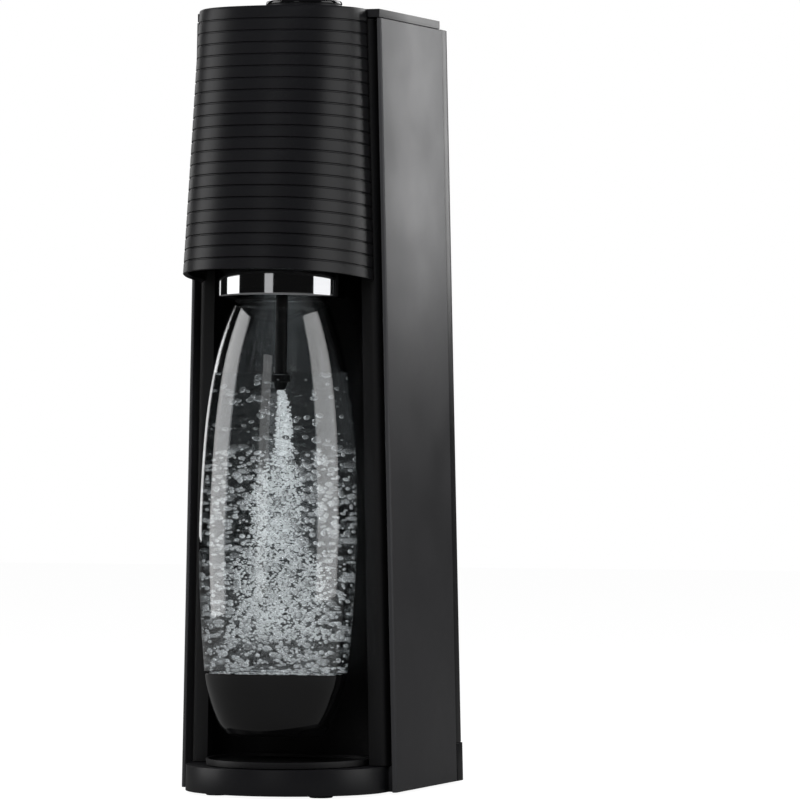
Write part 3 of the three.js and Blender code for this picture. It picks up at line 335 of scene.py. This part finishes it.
bottle_clear, bottle_shader = clear(
    "clear_copolyester", "f6f8f9", roughness=0.015, ior=1.54, ripple_size=26, strength=0.15, depth=0.2
)
bottle_shader.inputs["Coat Weight"].default_value = 1.0
bottle_shader.inputs["Coat Roughness"].default_value = 0.02
water_clear, _ = clear(
    "still_water", "f4f8fa", roughness=0.0, ior=1.33, ripple_size=12, strength=0.1, depth=0.3
)
print(bottle_clear.name, "and", water_clear.name)


# %% Gas in the water
def gas(name, chips, roughness, ior, clearness, glow, patch_size, detail):
    """Bubbles or foam: the clearer they are, the more each shows as a ring; the glow is painted light for
    light scattered in a crowd.
    """
    finish, shader = surface(name, chips[1], roughness, ior=ior)
    shader.inputs["Transmission Weight"].default_value = clearness
    shader.inputs["Emission Color"].default_value = linear("f4f7f8")
    shader.inputs["Emission Strength"].default_value = glow
    place = add(finish, "ShaderNodeTexCoord").outputs["Object"]
    patches = {"Vector": place, "Scale": 1 / (patch_size * MM), "Detail": detail}
    haze = add(finish, "ShaderNodeTexNoise", patches).outputs["Fac"]
    shades = {0: haze, 6: linear(chips[0]), 7: linear(chips[1])}
    tint = add(finish, "ShaderNodeMix", shades, data_type="RGBA").outputs[2]
    plug(finish, tint, shader.inputs["Base Color"])
    return finish


BUBBLE_IOR = 1 / 1.33
FOAM_IOR = 1.2
BUBBLE_CHIPS = ("f2f4f5", "ffffff")
FOAM_CHIPS = ("e6e8e9", "ffffff")
# The glow of each finish is painted light: a little for single bubbles, more for the crowd and most for the
# foam.
bubble_clear = gas(
    "single_gas_bubbles", BUBBLE_CHIPS, 0.02, BUBBLE_IOR, clearness=0.95, glow=0.035, patch_size=4, detail=2.0
)
crowd_clear = gas(
    "crowded_gas_bubbles", BUBBLE_CHIPS, 0.02, BUBBLE_IOR, clearness=0.85, glow=0.1, patch_size=4, detail=2.0
)
foam_white = gas(
    "fine_gas_foam", FOAM_CHIPS, 0.35, FOAM_IOR, clearness=0.15, glow=0.26, patch_size=3, detail=5.0
)
print("bubble IOR", round(BUBBLE_IOR, 3))

# %% [markdown]
# ## Finishes for the solids that stay
# Small parts whose shape is already right keep their solid and only get a finish. The record names
# a slot for each node, so one table from slot to finish dresses them all.

# %% Dress the solids
finish_of_slot = {
    "satin_black": satin_black,
    "gloss_black": gloss_black,
    "matt_black": matt_black,
    "panel_grey": panel_paint,
    "rubber": rubber,
    "chrome": chrome,
    "steel": steel,
    "brass": brass,
    "aluminium": aluminium,
    "pink_plastic": magenta,
    "clear_plastic": bottle_clear,
}
for node, solid in frame["nodes"].items():
    solid.data.materials.clear()
    solid.data.materials.append(sleeve if node == "cylinder_label" else finish_of_slot[slot_of_node[node]])
print("dressed", len(frame["nodes"]), "solids")

# %% [markdown]
# ## Mouldings with soft edges
# A moulded edge is never sharp: the tool leaves a radius of half a millimetre or more, and that
# radius is what catches a thin line of light. These pieces keep the shape of their solid and only
# gain that radius.

# %% Round the mouldings
edge_radius = {
    "base": 0.9,
    "left_side_panel": 0.8,
    "right_side_panel": 0.8,
    "rear_cover": 0.8,
    "top_cover": 0.35,
    "tower_frame": 0.5,
    "drip_tray": 0.4,
    "rear_cover_latch": 0.5,
    "cylinder_lever": 0.6,
    "valve_block": 0.5,
    "cylinder_bracket": 0.4,
    "rocker_bracket": 0.3,
}
for node, radius in edge_radius.items():
    slot = slot_of_node[node]
    moulding = softened(node, radius)
    add_piece(f"{node}_moulded", moulding, body_of_node[node], finish_of_slot[slot], (node,))

# %% [markdown]
# ## The ribbed hood
# The hood is one bowed shell with twenty-one fine grooves run round it. Boolean cuts could make the
# grooves, but a loft keeps clean quads: half of a circle is extruded up from level to level, and
# each groove is four levels, of which the middle two stand back. The half circle is then squared
# off, narrowed towards the top, and its ends are let down, as the moulding's are. A Solidify
# modifier gives the wall.

# %% Hood's sizes
hood_low, hood_high = map(Vector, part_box("front_hood"))
HOOD_HEIGHT = 142 * MM
HOOD_NARROWS = 4 * MM  # each side, from bottom to top
HOOD_SLOPE = 27 * MM  # its front leans out by this much
HOOD_DROOP = 5 * MM
HOOD_SQUARENESS = 2.4
HOOD_WALL = 2.4 * MM
EDGE_ROUND = 1.2 * MM
GROOVES = 21
GROOVE_DEPTH = 0.6 * MM
GROOVE_HALF = 0.6 * MM
FIRST_GROOVE = 7.2 * MM  # below the top edge
GROOVE_PITCH = 6.43 * MM

hood_half = hood_high.x
hood_reach = hood_high.y - hood_low.y
hood_foot = hood_high.z - HOOD_HEIGHT
print("hood", round(2 * hood_half / MM, 1), "wide and", round(hood_reach / MM, 1), "deep")


# %% Hood's levels
def hood_levels():
    """Height and setback of each level of the loft, from the foot to the rounded top edge."""
    levels = [(hood_foot, 0.5 * MM), (hood_foot + 0.5 * MM, 0)]
    for number in reversed(range(GROOVES)):
        middle = hood_high.z - FIRST_GROOVE - number * GROOVE_PITCH
        levels += [
            (middle - GROOVE_HALF, 0),
            (middle - 0.35 * GROOVE_HALF, GROOVE_DEPTH),
            (middle + 0.35 * GROOVE_HALF, GROOVE_DEPTH),
            (middle + GROOVE_HALF, 0),
        ]
    top = hood_high.z
    return levels + [(top - EDGE_ROUND, 0), (top - 0.4 * MM, 0.35 * MM), (top, EDGE_ROUND)]


# %% Loft the hood
def squared(share):
    """A cosine or sine, pushed outwards so that the circle grows squarer."""
    return math.copysign(abs(share) ** (2 / HOOD_SQUARENESS), share)


def ribbed_hood():
    shape = bmesh.new()
    bmesh.ops.create_circle(shape, radius=1, segments=144)
    behind = [point for point in shape.verts if point.co.y > 0.001]
    bmesh.ops.delete(shape, geom=behind, context="VERTS")
    rim = list(shape.edges)
    levels = hood_levels()
    for point in shape.verts:
        point.co *= 1 - levels[0][1] / hood_half
        point.co.z = levels[0][0]
    for height, setback in levels[1:]:
        made = bmesh.ops.extrude_edge_only(shape, edges=rim)["geom"]
        rim = [item for item in made if isinstance(item, bmesh.types.BMEdge)]
        for point in (item for item in made if isinstance(item, bmesh.types.BMVert)):
            spread = (1 - setback / hood_half) / point.co.xy.length
            point.co = (point.co.x * spread, point.co.y * spread, height)
    bmesh.ops.contextual_create(shape, geom=rim)
    for point in shape.verts:
        down = (hood_high.z - point.co.z) / HOOD_HEIGHT
        size = point.co.xy.length
        forward = -squared(point.co.y / size)
        half = hood_half - HOOD_NARROWS * (1 - down)
        reach = hood_reach - HOOD_SLOPE * (1 - down)
        point.co.x = squared(point.co.x / size) * size * half
        point.co.y = hood_high.y - forward * size * reach
        point.co.z -= HOOD_DROOP * down * (1 - forward)
    bmesh.ops.recalc_face_normals(shape, faces=shape.faces)
    front = min(shape.faces, key=lambda face: face.calc_center_median().y)
    if front.normal.y > 0:
        bmesh.ops.reverse_faces(shape, faces=shape.faces)
    return shape


# %% Hood's wall
hood_shape = ribbed_hood()
hood = add_piece("ribbed_front_hood", hood_shape, "machine", satin_black, ("front_hood",))
wall = hood.modifiers.new("wall", "SOLIDIFY")
wall.thickness = HOOD_WALL
wall.offset = -1
wall.use_rim = True

# %% [markdown]
# ## The button
# The button is a low satin puck with a polished ring pressed round its top. Both are turned. The
# ring's top is a small round nose, so it draws one thin bright line, and the puck's face is dished
# a little for a thumb.

# %% Button's place
button_low, button_high = (Vector(corner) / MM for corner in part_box("carbonating_button"))
ring_low, ring_high = (Vector(corner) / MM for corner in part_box("button_rim"))
middle = (button_low + button_high) / 2
button_centre = Matrix.Translation(Vector((middle.x, middle.y, 0)) * MM)
BUTTON_RADIUS = (button_high.x - button_low.x) / 2
RING_WIDTH = 1.6
SKIRT_WALL = 2.5
SKIRT_DEPTH = 4
print("button", round(2 * BUTTON_RADIUS, 1), "mm across")

# %% Button's puck
seat_radius = BUTTON_RADIUS - RING_WIDTH - 0.4  # inside the ring, with a little play
puck = spun(
    [
        (0, button_low.z + SKIRT_DEPTH),
        (BUTTON_RADIUS - SKIRT_WALL, button_low.z + SKIRT_DEPTH),
        (BUTTON_RADIUS - SKIRT_WALL, button_low.z),
        (BUTTON_RADIUS - 0.3, button_low.z),
        (BUTTON_RADIUS, button_low.z + 0.3),
        (BUTTON_RADIUS, ring_low.z - 0.7),
        (BUTTON_RADIUS - 0.3, ring_low.z - 0.4),
        (seat_radius, ring_low.z - 0.4),
        (seat_radius, button_high.z - 0.7),
        (seat_radius - 0.5, button_high.z - 0.3),
        (BUTTON_RADIUS * 0.6, button_high.z - 0.8),
        (0, button_high.z - 1.1),
    ]
)
puck.transform(button_centre)
add_piece("button_puck", puck, "button", satin_black, ("carbonating_button",))

# %% Button's ring
ring_inside = BUTTON_RADIUS - RING_WIDTH
ring_nose = smooth_line(
    [
        (BUTTON_RADIUS, ring_high.z - 1.2),
        (BUTTON_RADIUS - 0.35, ring_high.z - 0.3),
        (BUTTON_RADIUS - 0.8, ring_high.z),
        (BUTTON_RADIUS - 1.3, ring_high.z - 0.3),
        (ring_inside, ring_high.z - 0.9),
    ],
    4,
)
ring = spun([(ring_inside, ring_low.z), (BUTTON_RADIUS, ring_low.z), *ring_nose, (ring_inside, ring_low.z)])
ring.transform(button_centre)
add_piece("button_ring", ring, "button", gloss_black, ("button_rim",))

# %% [markdown]
# ## Where the bottle hangs
# The holder hangs from its hinge and leans forward a little, and the bottle with it. So the
# bottle's pieces are modelled upright, with the hinge as their origin, and one matrix tips them and
# carries them to the hinge. The lean is the direction in which the bottle slides out, and the reach
# is the bottle's distance from the hinge.

# %% Holder's matrix
hinge = Vector(joints["bottle_tilt"]["pos_m"])
pull = Vector(joints["bottle_pull_down"]["axis"])
lean = math.atan2(-pull.y, -pull.z)
REACH = 34
out_from_hinge = Matrix.Translation((0, -REACH * MM, 0))
hanging = Matrix.Translation(hinge) @ Matrix.Rotation(-lean, 4, "X") @ out_from_hinge
print("lean", round(math.degrees(lean), 2), "degrees")

# %% Bottle's sizes
bottle_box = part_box("bottle_body")
BOTTLE_RADIUS = (bottle_box[1][0] - bottle_box[0][0]) / 2 / MM
BOTTLE_LOW = -272  # heights are counted from the hinge
BOTTLE_HEIGHT = 258.2
SEAM = BOTTLE_LOW + 33.5
MOUTH = BOTTLE_LOW + BOTTLE_HEIGHT
BOTTLE_WALL = 2.2
BOTTLE_STEPS = 128
NECK_RADIUS = 16
NECK_FOOT = -25
NECK_WALL = 3
CUP_WALL = 1.8
FIT = 0.4
print("bottle", round(2 * BOTTLE_RADIUS, 1), "mm across and", BOTTLE_HEIGHT, "mm tall")

# %% [markdown]
# ## The bottle
# The bottle is blown, so its outline is one smooth curve from the foot to the neck. A curve through
# a few points gives it, and the same curve moved inwards is the inner wall. Its points are counted
# from the bulge's radius, and from the foot as shares of the bottle's height.

# %% Bottle's outline
swell = [
    (BOTTLE_RADIUS - 16.5, 0.005),
    (BOTTLE_RADIUS - 12.2, 0.028),
    (BOTTLE_RADIUS - 7.6, 0.075),
    (BOTTLE_RADIUS - 4.2, 0.135),
    (BOTTLE_RADIUS - 1.2, 0.285),
    (BOTTLE_RADIUS, 0.415),
    (BOTTLE_RADIUS - 0.9, 0.55),
    (BOTTLE_RADIUS - 3.0, 0.67),
    (BOTTLE_RADIUS - 7.4, 0.785),
    (BOTTLE_RADIUS - 13.0, 0.865),
    (BOTTLE_RADIUS - 19.6, 0.93),
]
outline = smooth_line([(radius, BOTTLE_LOW + rise * BOTTLE_HEIGHT) for radius, rise in swell], 8)
in_cup = [(r - CUP_WALL - FIT, z) for r, z in outline if BOTTLE_LOW + 4 < z < SEAM - 1]
over_cup = [(r, z) for r, z in outline if z > SEAM + FIT]
floor = in_cup[0][1]
print("outline of", len(outline), "points, of which", len(in_cup), "lie in the cup")

# %% Bottle's body
LIP_ROUND = 0.6
bore = NECK_RADIUS - NECK_WALL
outside = [(0, floor), (in_cup[0][0] - 4, floor), *in_cup, (in_cup[-1][0], SEAM + FIT), *over_cup]
neck = [
    (NECK_RADIUS, NECK_FOOT),
    (NECK_RADIUS, MOUTH - LIP_ROUND),
    (NECK_RADIUS - LIP_ROUND, MOUTH),
    (bore, MOUTH),
]
inner_line = [(r - BOTTLE_WALL, z) for r, z in [*in_cup, *over_cup] if z > floor + BOTTLE_WALL]
inside = [(bore, NECK_FOOT), *reversed(inner_line), (0, floor + BOTTLE_WALL)]
body = spun([*outside, *neck, *inside], BOTTLE_STEPS)
body.transform(hanging)
add_piece("blown_bottle", body, "bottle", bottle_clear, ("bottle_body",), sharp=50)

# %% [markdown]
# ## The bottle's foot
# A polished black cup is welded round the foot. It follows the same outline, and a shallow step at
# its top edge makes the seam that shows as a thin bright line.

# %% Foot cup
cup_line = [(r, z) for r, z in outline if z < SEAM - 0.6]
CUP_FLOOR = 2.2
foot = [(0, BOTTLE_LOW), (BOTTLE_RADIUS - 18.4, BOTTLE_LOW), (BOTTLE_RADIUS - 17.2, BOTTLE_LOW + 0.4)]
rim_radius = cup_line[-1][0]
cup = spun(
    [
        *foot,
        *cup_line[1:],
        (rim_radius + 0.1, SEAM - 0.3),
        (rim_radius - 0.2, SEAM),
        (rim_radius - CUP_WALL, SEAM),
        *[(r - CUP_WALL, z) for r, z in reversed(cup_line) if z > BOTTLE_LOW + CUP_FLOOR],
        (0, BOTTLE_LOW + CUP_FLOOR),
    ],
    BOTTLE_STEPS,
)
cup.transform(hanging)
add_piece("bottle_foot_cup", cup, "bottle", gloss_black, ("bottle_base_cup",))

# %% [markdown]
# ## The chrome collar
# The collar is a plated ring that hides the holder. Its edges are rolled, and the lower one turns
# in a little, so it draws a bright line under the dark bands that the plate reflects.

# %% Collar
COLLAR_RADIUS = 34.5
COLLAR_LOW = -35
COLLAR_TALL = 23
COLLAR_TOP = COLLAR_LOW + COLLAR_TALL
COLLAR_WALL = 1.6
COLLAR_STEPS = 144
collar_line = smooth_line(
    [
        (COLLAR_RADIUS - COLLAR_WALL, COLLAR_LOW + 0.7),
        (COLLAR_RADIUS - COLLAR_WALL / 2, COLLAR_LOW),
        (COLLAR_RADIUS - 0.15, COLLAR_LOW + 0.6),
        (COLLAR_RADIUS, COLLAR_LOW + 1.6),
    ],
    5,
)
collar = spun(
    [
        *collar_line,
        (COLLAR_RADIUS, COLLAR_TOP - 0.5),
        (COLLAR_RADIUS - 0.5, COLLAR_TOP),
        (COLLAR_RADIUS - COLLAR_WALL, COLLAR_TOP),
        collar_line[0],
    ],
    COLLAR_STEPS,
)
collar.transform(hanging)
add_piece("plated_collar", collar, "bottle_holder", chrome, ("chrome_collar",))

# %% [markdown]
# ## Water
# The water is the inside of the bottle up to the fill line. It is turned like the bottle, tipped
# with it, and then cut level, because water stays level in a bottle that leans. Its wall reaches a
# hair into the bottle's.

# %% Water
WATER_LEVEL = 228 * MM
SKIN = 0.06  # the water reaches this far into the wall
water_wall = [(r - BOTTLE_WALL + SKIN, z) for r, z in [*in_cup, *over_cup] if z > floor + BOTTLE_WALL]
water_floor = water_wall[0][1] - SKIN
water = spun([(0, water_floor), (water_wall[0][0], water_floor), *water_wall, (0, water_wall[-1][1])])
water.transform(hanging)

# %% Level the water
cut = bmesh.ops.bisect_plane(
    water,
    geom=[*water.verts, *water.edges, *water.faces],
    plane_co=(0, 0, WATER_LEVEL),
    plane_no=(0, 0, 1),
    clear_outer=True,
)
shore = [item for item in cut["geom_cut"] if isinstance(item, bmesh.types.BMEdge)]
bmesh.ops.contextual_create(water, geom=shore)
bmesh.ops.recalc_face_normals(water, faces=water.faces)
add_piece("water", water, "bottle", water_clear)

# %% [markdown]
# ## Bubbles and the gas plume
# Gas leaves the nozzle as a white plume that widens downwards, breaks into a cloud, and rises again
# as loose bubbles. A particle system could scatter them, but a seeded draw in a loop gives the same
# cloud in every run. Each bubble is a small icosphere, coarse because there are hundreds, and
# smooth shading rounds it.

# %% Where gas can be
random.seed(11)
TIP = -84  # the nozzle's mouth, from the hinge
CLOUD_TOP = -118
CLOUD_FLOOR = BOTTLE_LOW + 9
WALL_GAP = 1.2
SURFACE_GAP = 3


def wall_at(height):
    """Radius that a bubble may reach at a height, in mm."""
    above = next((point for point in water_wall if point[1] >= height), water_wall[-1])
    return above[0] - WALL_GAP


def around(reach):
    """A place within a circle, drawn evenly over its area."""
    angle = random.uniform(0, 2 * math.pi)
    out = reach * math.sqrt(random.random())
    return out * math.cos(angle), out * math.sin(angle)


# %% Patterns for a bubble
def ball(detail):
    """A unit icosphere to copy from."""
    shape = bmesh.new()
    bmesh.ops.create_icosphere(shape, subdivisions=detail, radius=1)
    pattern = bpy.data.meshes.new(f"ball_{detail}")
    shape.to_mesh(pattern)
    shape.free()
    return pattern


FINE, COARSE = ball(2), ball(1)
FINE_FROM = 0.9  # mm of radius from which a bubble gets the finer ball
print("bubbles of", len(COARSE.polygons), "and", len(FINE.polygons), "faces")


# %% One bubble
def add_bubble(shape, radius, place):
    """One bubble, a little flattened and tipped, as rising bubbles are."""
    first = len(shape.verts)
    shape.from_mesh(FINE if radius > FINE_FROM else COARSE)
    shape.verts.ensure_lookup_table()
    tall = radius * random.uniform(0.6, 0.95)
    flat = Matrix.Diagonal((radius * MM, radius * MM, tall * MM, 1))
    turn = Matrix.Rotation(random.uniform(-0.5, 0.5), 4, "Y")
    put = Matrix.Translation(Vector(place) * MM) @ turn @ flat
    for point in shape.verts[first:]:
        point.co = put @ point.co


# %% Loose bubbles
LOOSE_COUNT = 380
LOOSE_RADII = (0.6, 0.8, 1.1, 1.4, 1.8, 2.2)


def loose_bubbles():
    """Bubbles that rise on their own: few near the surface, more towards the cloud."""
    shape = bmesh.new()
    top = (WATER_LEVEL - hinge.z) / MM - SURFACE_GAP
    for _ in range(LOOSE_COUNT):
        height = CLOUD_FLOOR + (top - CLOUD_FLOOR) * random.random() ** 0.75
        radius = random.choice(LOOSE_RADII)
        x, y = around(wall_at(height) - radius)
        add_bubble(shape, radius, (x, y, height))
    return shape


# %% Cloud of bubbles
CLOUD_COUNT = 2000


def cloud_bubbles():
    """The crowd in the lower half, denser towards the floor."""
    shape = bmesh.new()
    for _ in range(CLOUD_COUNT):
        height = CLOUD_FLOOR + (CLOUD_TOP - CLOUD_FLOOR) * random.random() ** 1.3
        radius = random.uniform(0.6, 1.1) + 1.1 * random.random() ** 3
        x, y = around(wall_at(height) - radius)
        add_bubble(shape, radius, (x, y, height))
    return shape


# %% Plume of foam
PLUME_COUNT = 4600
PLUME_DEPTH = 135
PLUME_START = 1.2
PLUME_SPREAD = 24


def plume():
    """Fine foam in a ragged cone under the nozzle, which ends in the cloud."""
    shape = bmesh.new()
    for _ in range(PLUME_COUNT):
        share = random.random() ** 0.85
        ragged = 1 + 0.5 * math.sin(share * 19) * random.random()
        x, y = around((PLUME_START + PLUME_SPREAD * share**1.3) * ragged)
        radius = random.uniform(0.3, 0.85)
        add_bubble(shape, radius, (x + 2 * math.sin(share * 9), y, TIP - PLUME_DEPTH * share))
    return shape


# %% Fill the water
for name, make, finish in (
    ("loose_bubbles", loose_bubbles, bubble_clear),
    ("bubble_cloud", cloud_bubbles, crowd_clear),
    ("gas_plume", plume, foam_white),
):
    drops = make()
    drops.transform(hanging)
    add_piece(name, drops, "bottle", finish, sharp=180)

# %% [markdown]
# ## Tabletop
# The machine stands on a plain pale paper sweep. Real paper would burn out to white and throw its
# own light up under the foot. Here the paper glows only where the camera sees it, and is grey to
# everything else, so the foot keeps its black.

# %% Floor
FLOOR_HALF = 4
FLOOR_GLOW = 0.95
SPECKLE_SIZE = 2
paper, paper_shader = surface("matt_paper_sweep", "5c5c5c", 0.9)
paper_place = add(paper, "ShaderNodeTexCoord").outputs["Object"]
speckle = add(paper, "ShaderNodeTexNoise", {"Vector": paper_place, "Scale": 1 / (SPECKLE_SIZE * MM)})
fibres = {0: speckle.outputs["Fac"], 6: linear("5a5a5a"), 7: linear("5e5e5e")}
fibre_tint = add(paper, "ShaderNodeMix", fibres, data_type="RGBA").outputs[2]
plug(paper, fibre_tint, paper_shader.inputs["Base Color"])
seen = add(paper, "ShaderNodeLightPath").outputs["Is Camera Ray"]
glow = add(paper, "ShaderNodeMath", {0: seen, 1: FLOOR_GLOW}, operation="MULTIPLY").outputs[0]
plug(paper, glow, paper_shader.inputs["Emission Strength"])
paper_shader.inputs["Emission Color"].default_value = linear("ffffff")
sweep = bmesh.new()
bmesh.ops.create_grid(sweep, x_segments=1, y_segments=1, size=FLOOR_HALF)
floor_mesh = bpy.data.meshes.new("floor")
sweep.to_mesh(floor_mesh)
sweep.free()
floor_mesh.materials.append(paper)
floor_object = bpy.data.objects.new("floor", floor_mesh)
bpy.context.collection.objects.link(floor_object)
print("floor", 2 * FLOOR_HALF, "m across")

# %% [markdown]
# ## Room light
# The camera sees a white room. Matt surfaces get less of it, so that black plastic stays black, and
# mirrors get almost none, as if the studio's walls were hung with black cloth. That gives the
# chrome its dark bands. A Light Path node tells the three kinds of ray apart.

# %% Room light
WHITE_ROOM = 1.0
DIFFUSE_ROOM = 0.3
FLAGGED_ROOM = 0.006
world = bpy.data.worlds.new("pale_studio")
world.use_nodes = True
bpy.context.scene.world = world
bpy.context.scene.view_settings.view_transform = "Standard"
ray = add(world, "ShaderNodeLightPath").outputs
dimmed = add(world, "ShaderNodeMix", {0: ray["Is Diffuse Ray"], 2: WHITE_ROOM, 3: DIFFUSE_ROOM}).outputs[0]
flagged = add(world, "ShaderNodeMix", {0: ray["Is Glossy Ray"], 2: dimmed, 3: FLAGGED_ROOM}).outputs[0]
background = world.node_tree.nodes["Background"]
plug(world, flagged, background.inputs["Strength"])
background.inputs["Color"].default_value = linear("ffffff")
print("room", world.name)

# %% [markdown]
# ## Softboxes
# Each softbox is placed for one band of light. The left one draws the long soft band down the hood
# and the bottle, the front strip a thin one beside it, and the right one the bright end of the
# hood. The panel's box stands behind at the right and high, since the panel is seen at a grazing
# angle and mirrors what is behind it, so it shines near its top and darkens downwards. The rim box
# edges the back. The last one, from above and in front, fills only matt surfaces, and mirrors and
# glass don't show it.


# %% Softboxes
AIM_HEIGHT = 0.28


def softbox(name, bearing, distance, height, width, tall, glow):
    """A rectangle of light. Its bearing is in degrees from straight right, and glow is its radiance."""
    lamp = bpy.data.lights.new(name, "AREA")
    lamp.shape = "RECTANGLE"
    lamp.size = width
    lamp.size_y = tall
    lamp.energy = glow * math.pi * width * tall
    box = bpy.data.objects.new(name, lamp)
    angle = math.radians(bearing)
    place = Vector((distance * math.cos(angle), distance * math.sin(angle), height))
    box.location = place
    box.rotation_euler = (Vector((0, 0, AIM_HEIGHT)) - place).to_track_quat("-Z", "Y").to_euler()
    bpy.context.collection.objects.link(box)
    return box


softbox("left_softbox", bearing=-167, distance=1.3, height=0.45, width=0.8, tall=1.6, glow=1.6)
softbox("front_strip", bearing=-92, distance=1.7, height=0.5, width=0.45, tall=1.2, glow=0.5)
softbox("right_softbox", bearing=8, distance=1.1, height=0.45, width=0.8, tall=1.3, glow=1.3)
softbox("panel_softbox", bearing=66, distance=1.0, height=0.62, width=0.5, tall=0.6, glow=3.0)
softbox("rim_softbox", bearing=138, distance=1.3, height=0.6, width=0.4, tall=1.0, glow=1.0)
fill = softbox("matt_fill", bearing=-80, distance=1.7, height=1.9, width=1.6, tall=1.6, glow=9.0)
fill.visible_glossy = False
fill.visible_transmission = False

# %% [markdown]
# ## Camera
# A long lens from far off keeps the tall sides nearly parallel. The camera looks level, so upright
# edges stay upright, and a small vertical shift centres the machine instead of a tilt.

# %% Camera
AZIMUTH = math.radians(20.5)
DISTANCE = 2.8403
EYE_HEIGHT = 0.2038
AIM = Vector((0, 0.011, EYE_HEIGHT))
SIDESTEP = 0.0497  # the view is centred this far to the right of the machine
FOCAL_LENGTH = 232.5
forward = Vector((-math.sin(AZIMUTH), math.cos(AZIMUTH), 0))
right = Vector((math.cos(AZIMUTH), math.sin(AZIMUTH), 0))
lens = bpy.data.cameras.new("camera")
lens.sensor_width = 36
lens.lens = FOCAL_LENGTH
lens.shift_y = 0.0225
lens.clip_end = 20
camera = bpy.data.objects.new("camera", lens)
camera.location = AIM + SIDESTEP * right - DISTANCE * forward
camera.rotation_euler = forward.to_track_quat("-Z", "Y").to_euler()
bpy.context.collection.objects.link(camera)
bpy.context.scene.camera = camera
print("camera", round(math.degrees(AZIMUTH), 1), "degrees round,", DISTANCE, "m away")
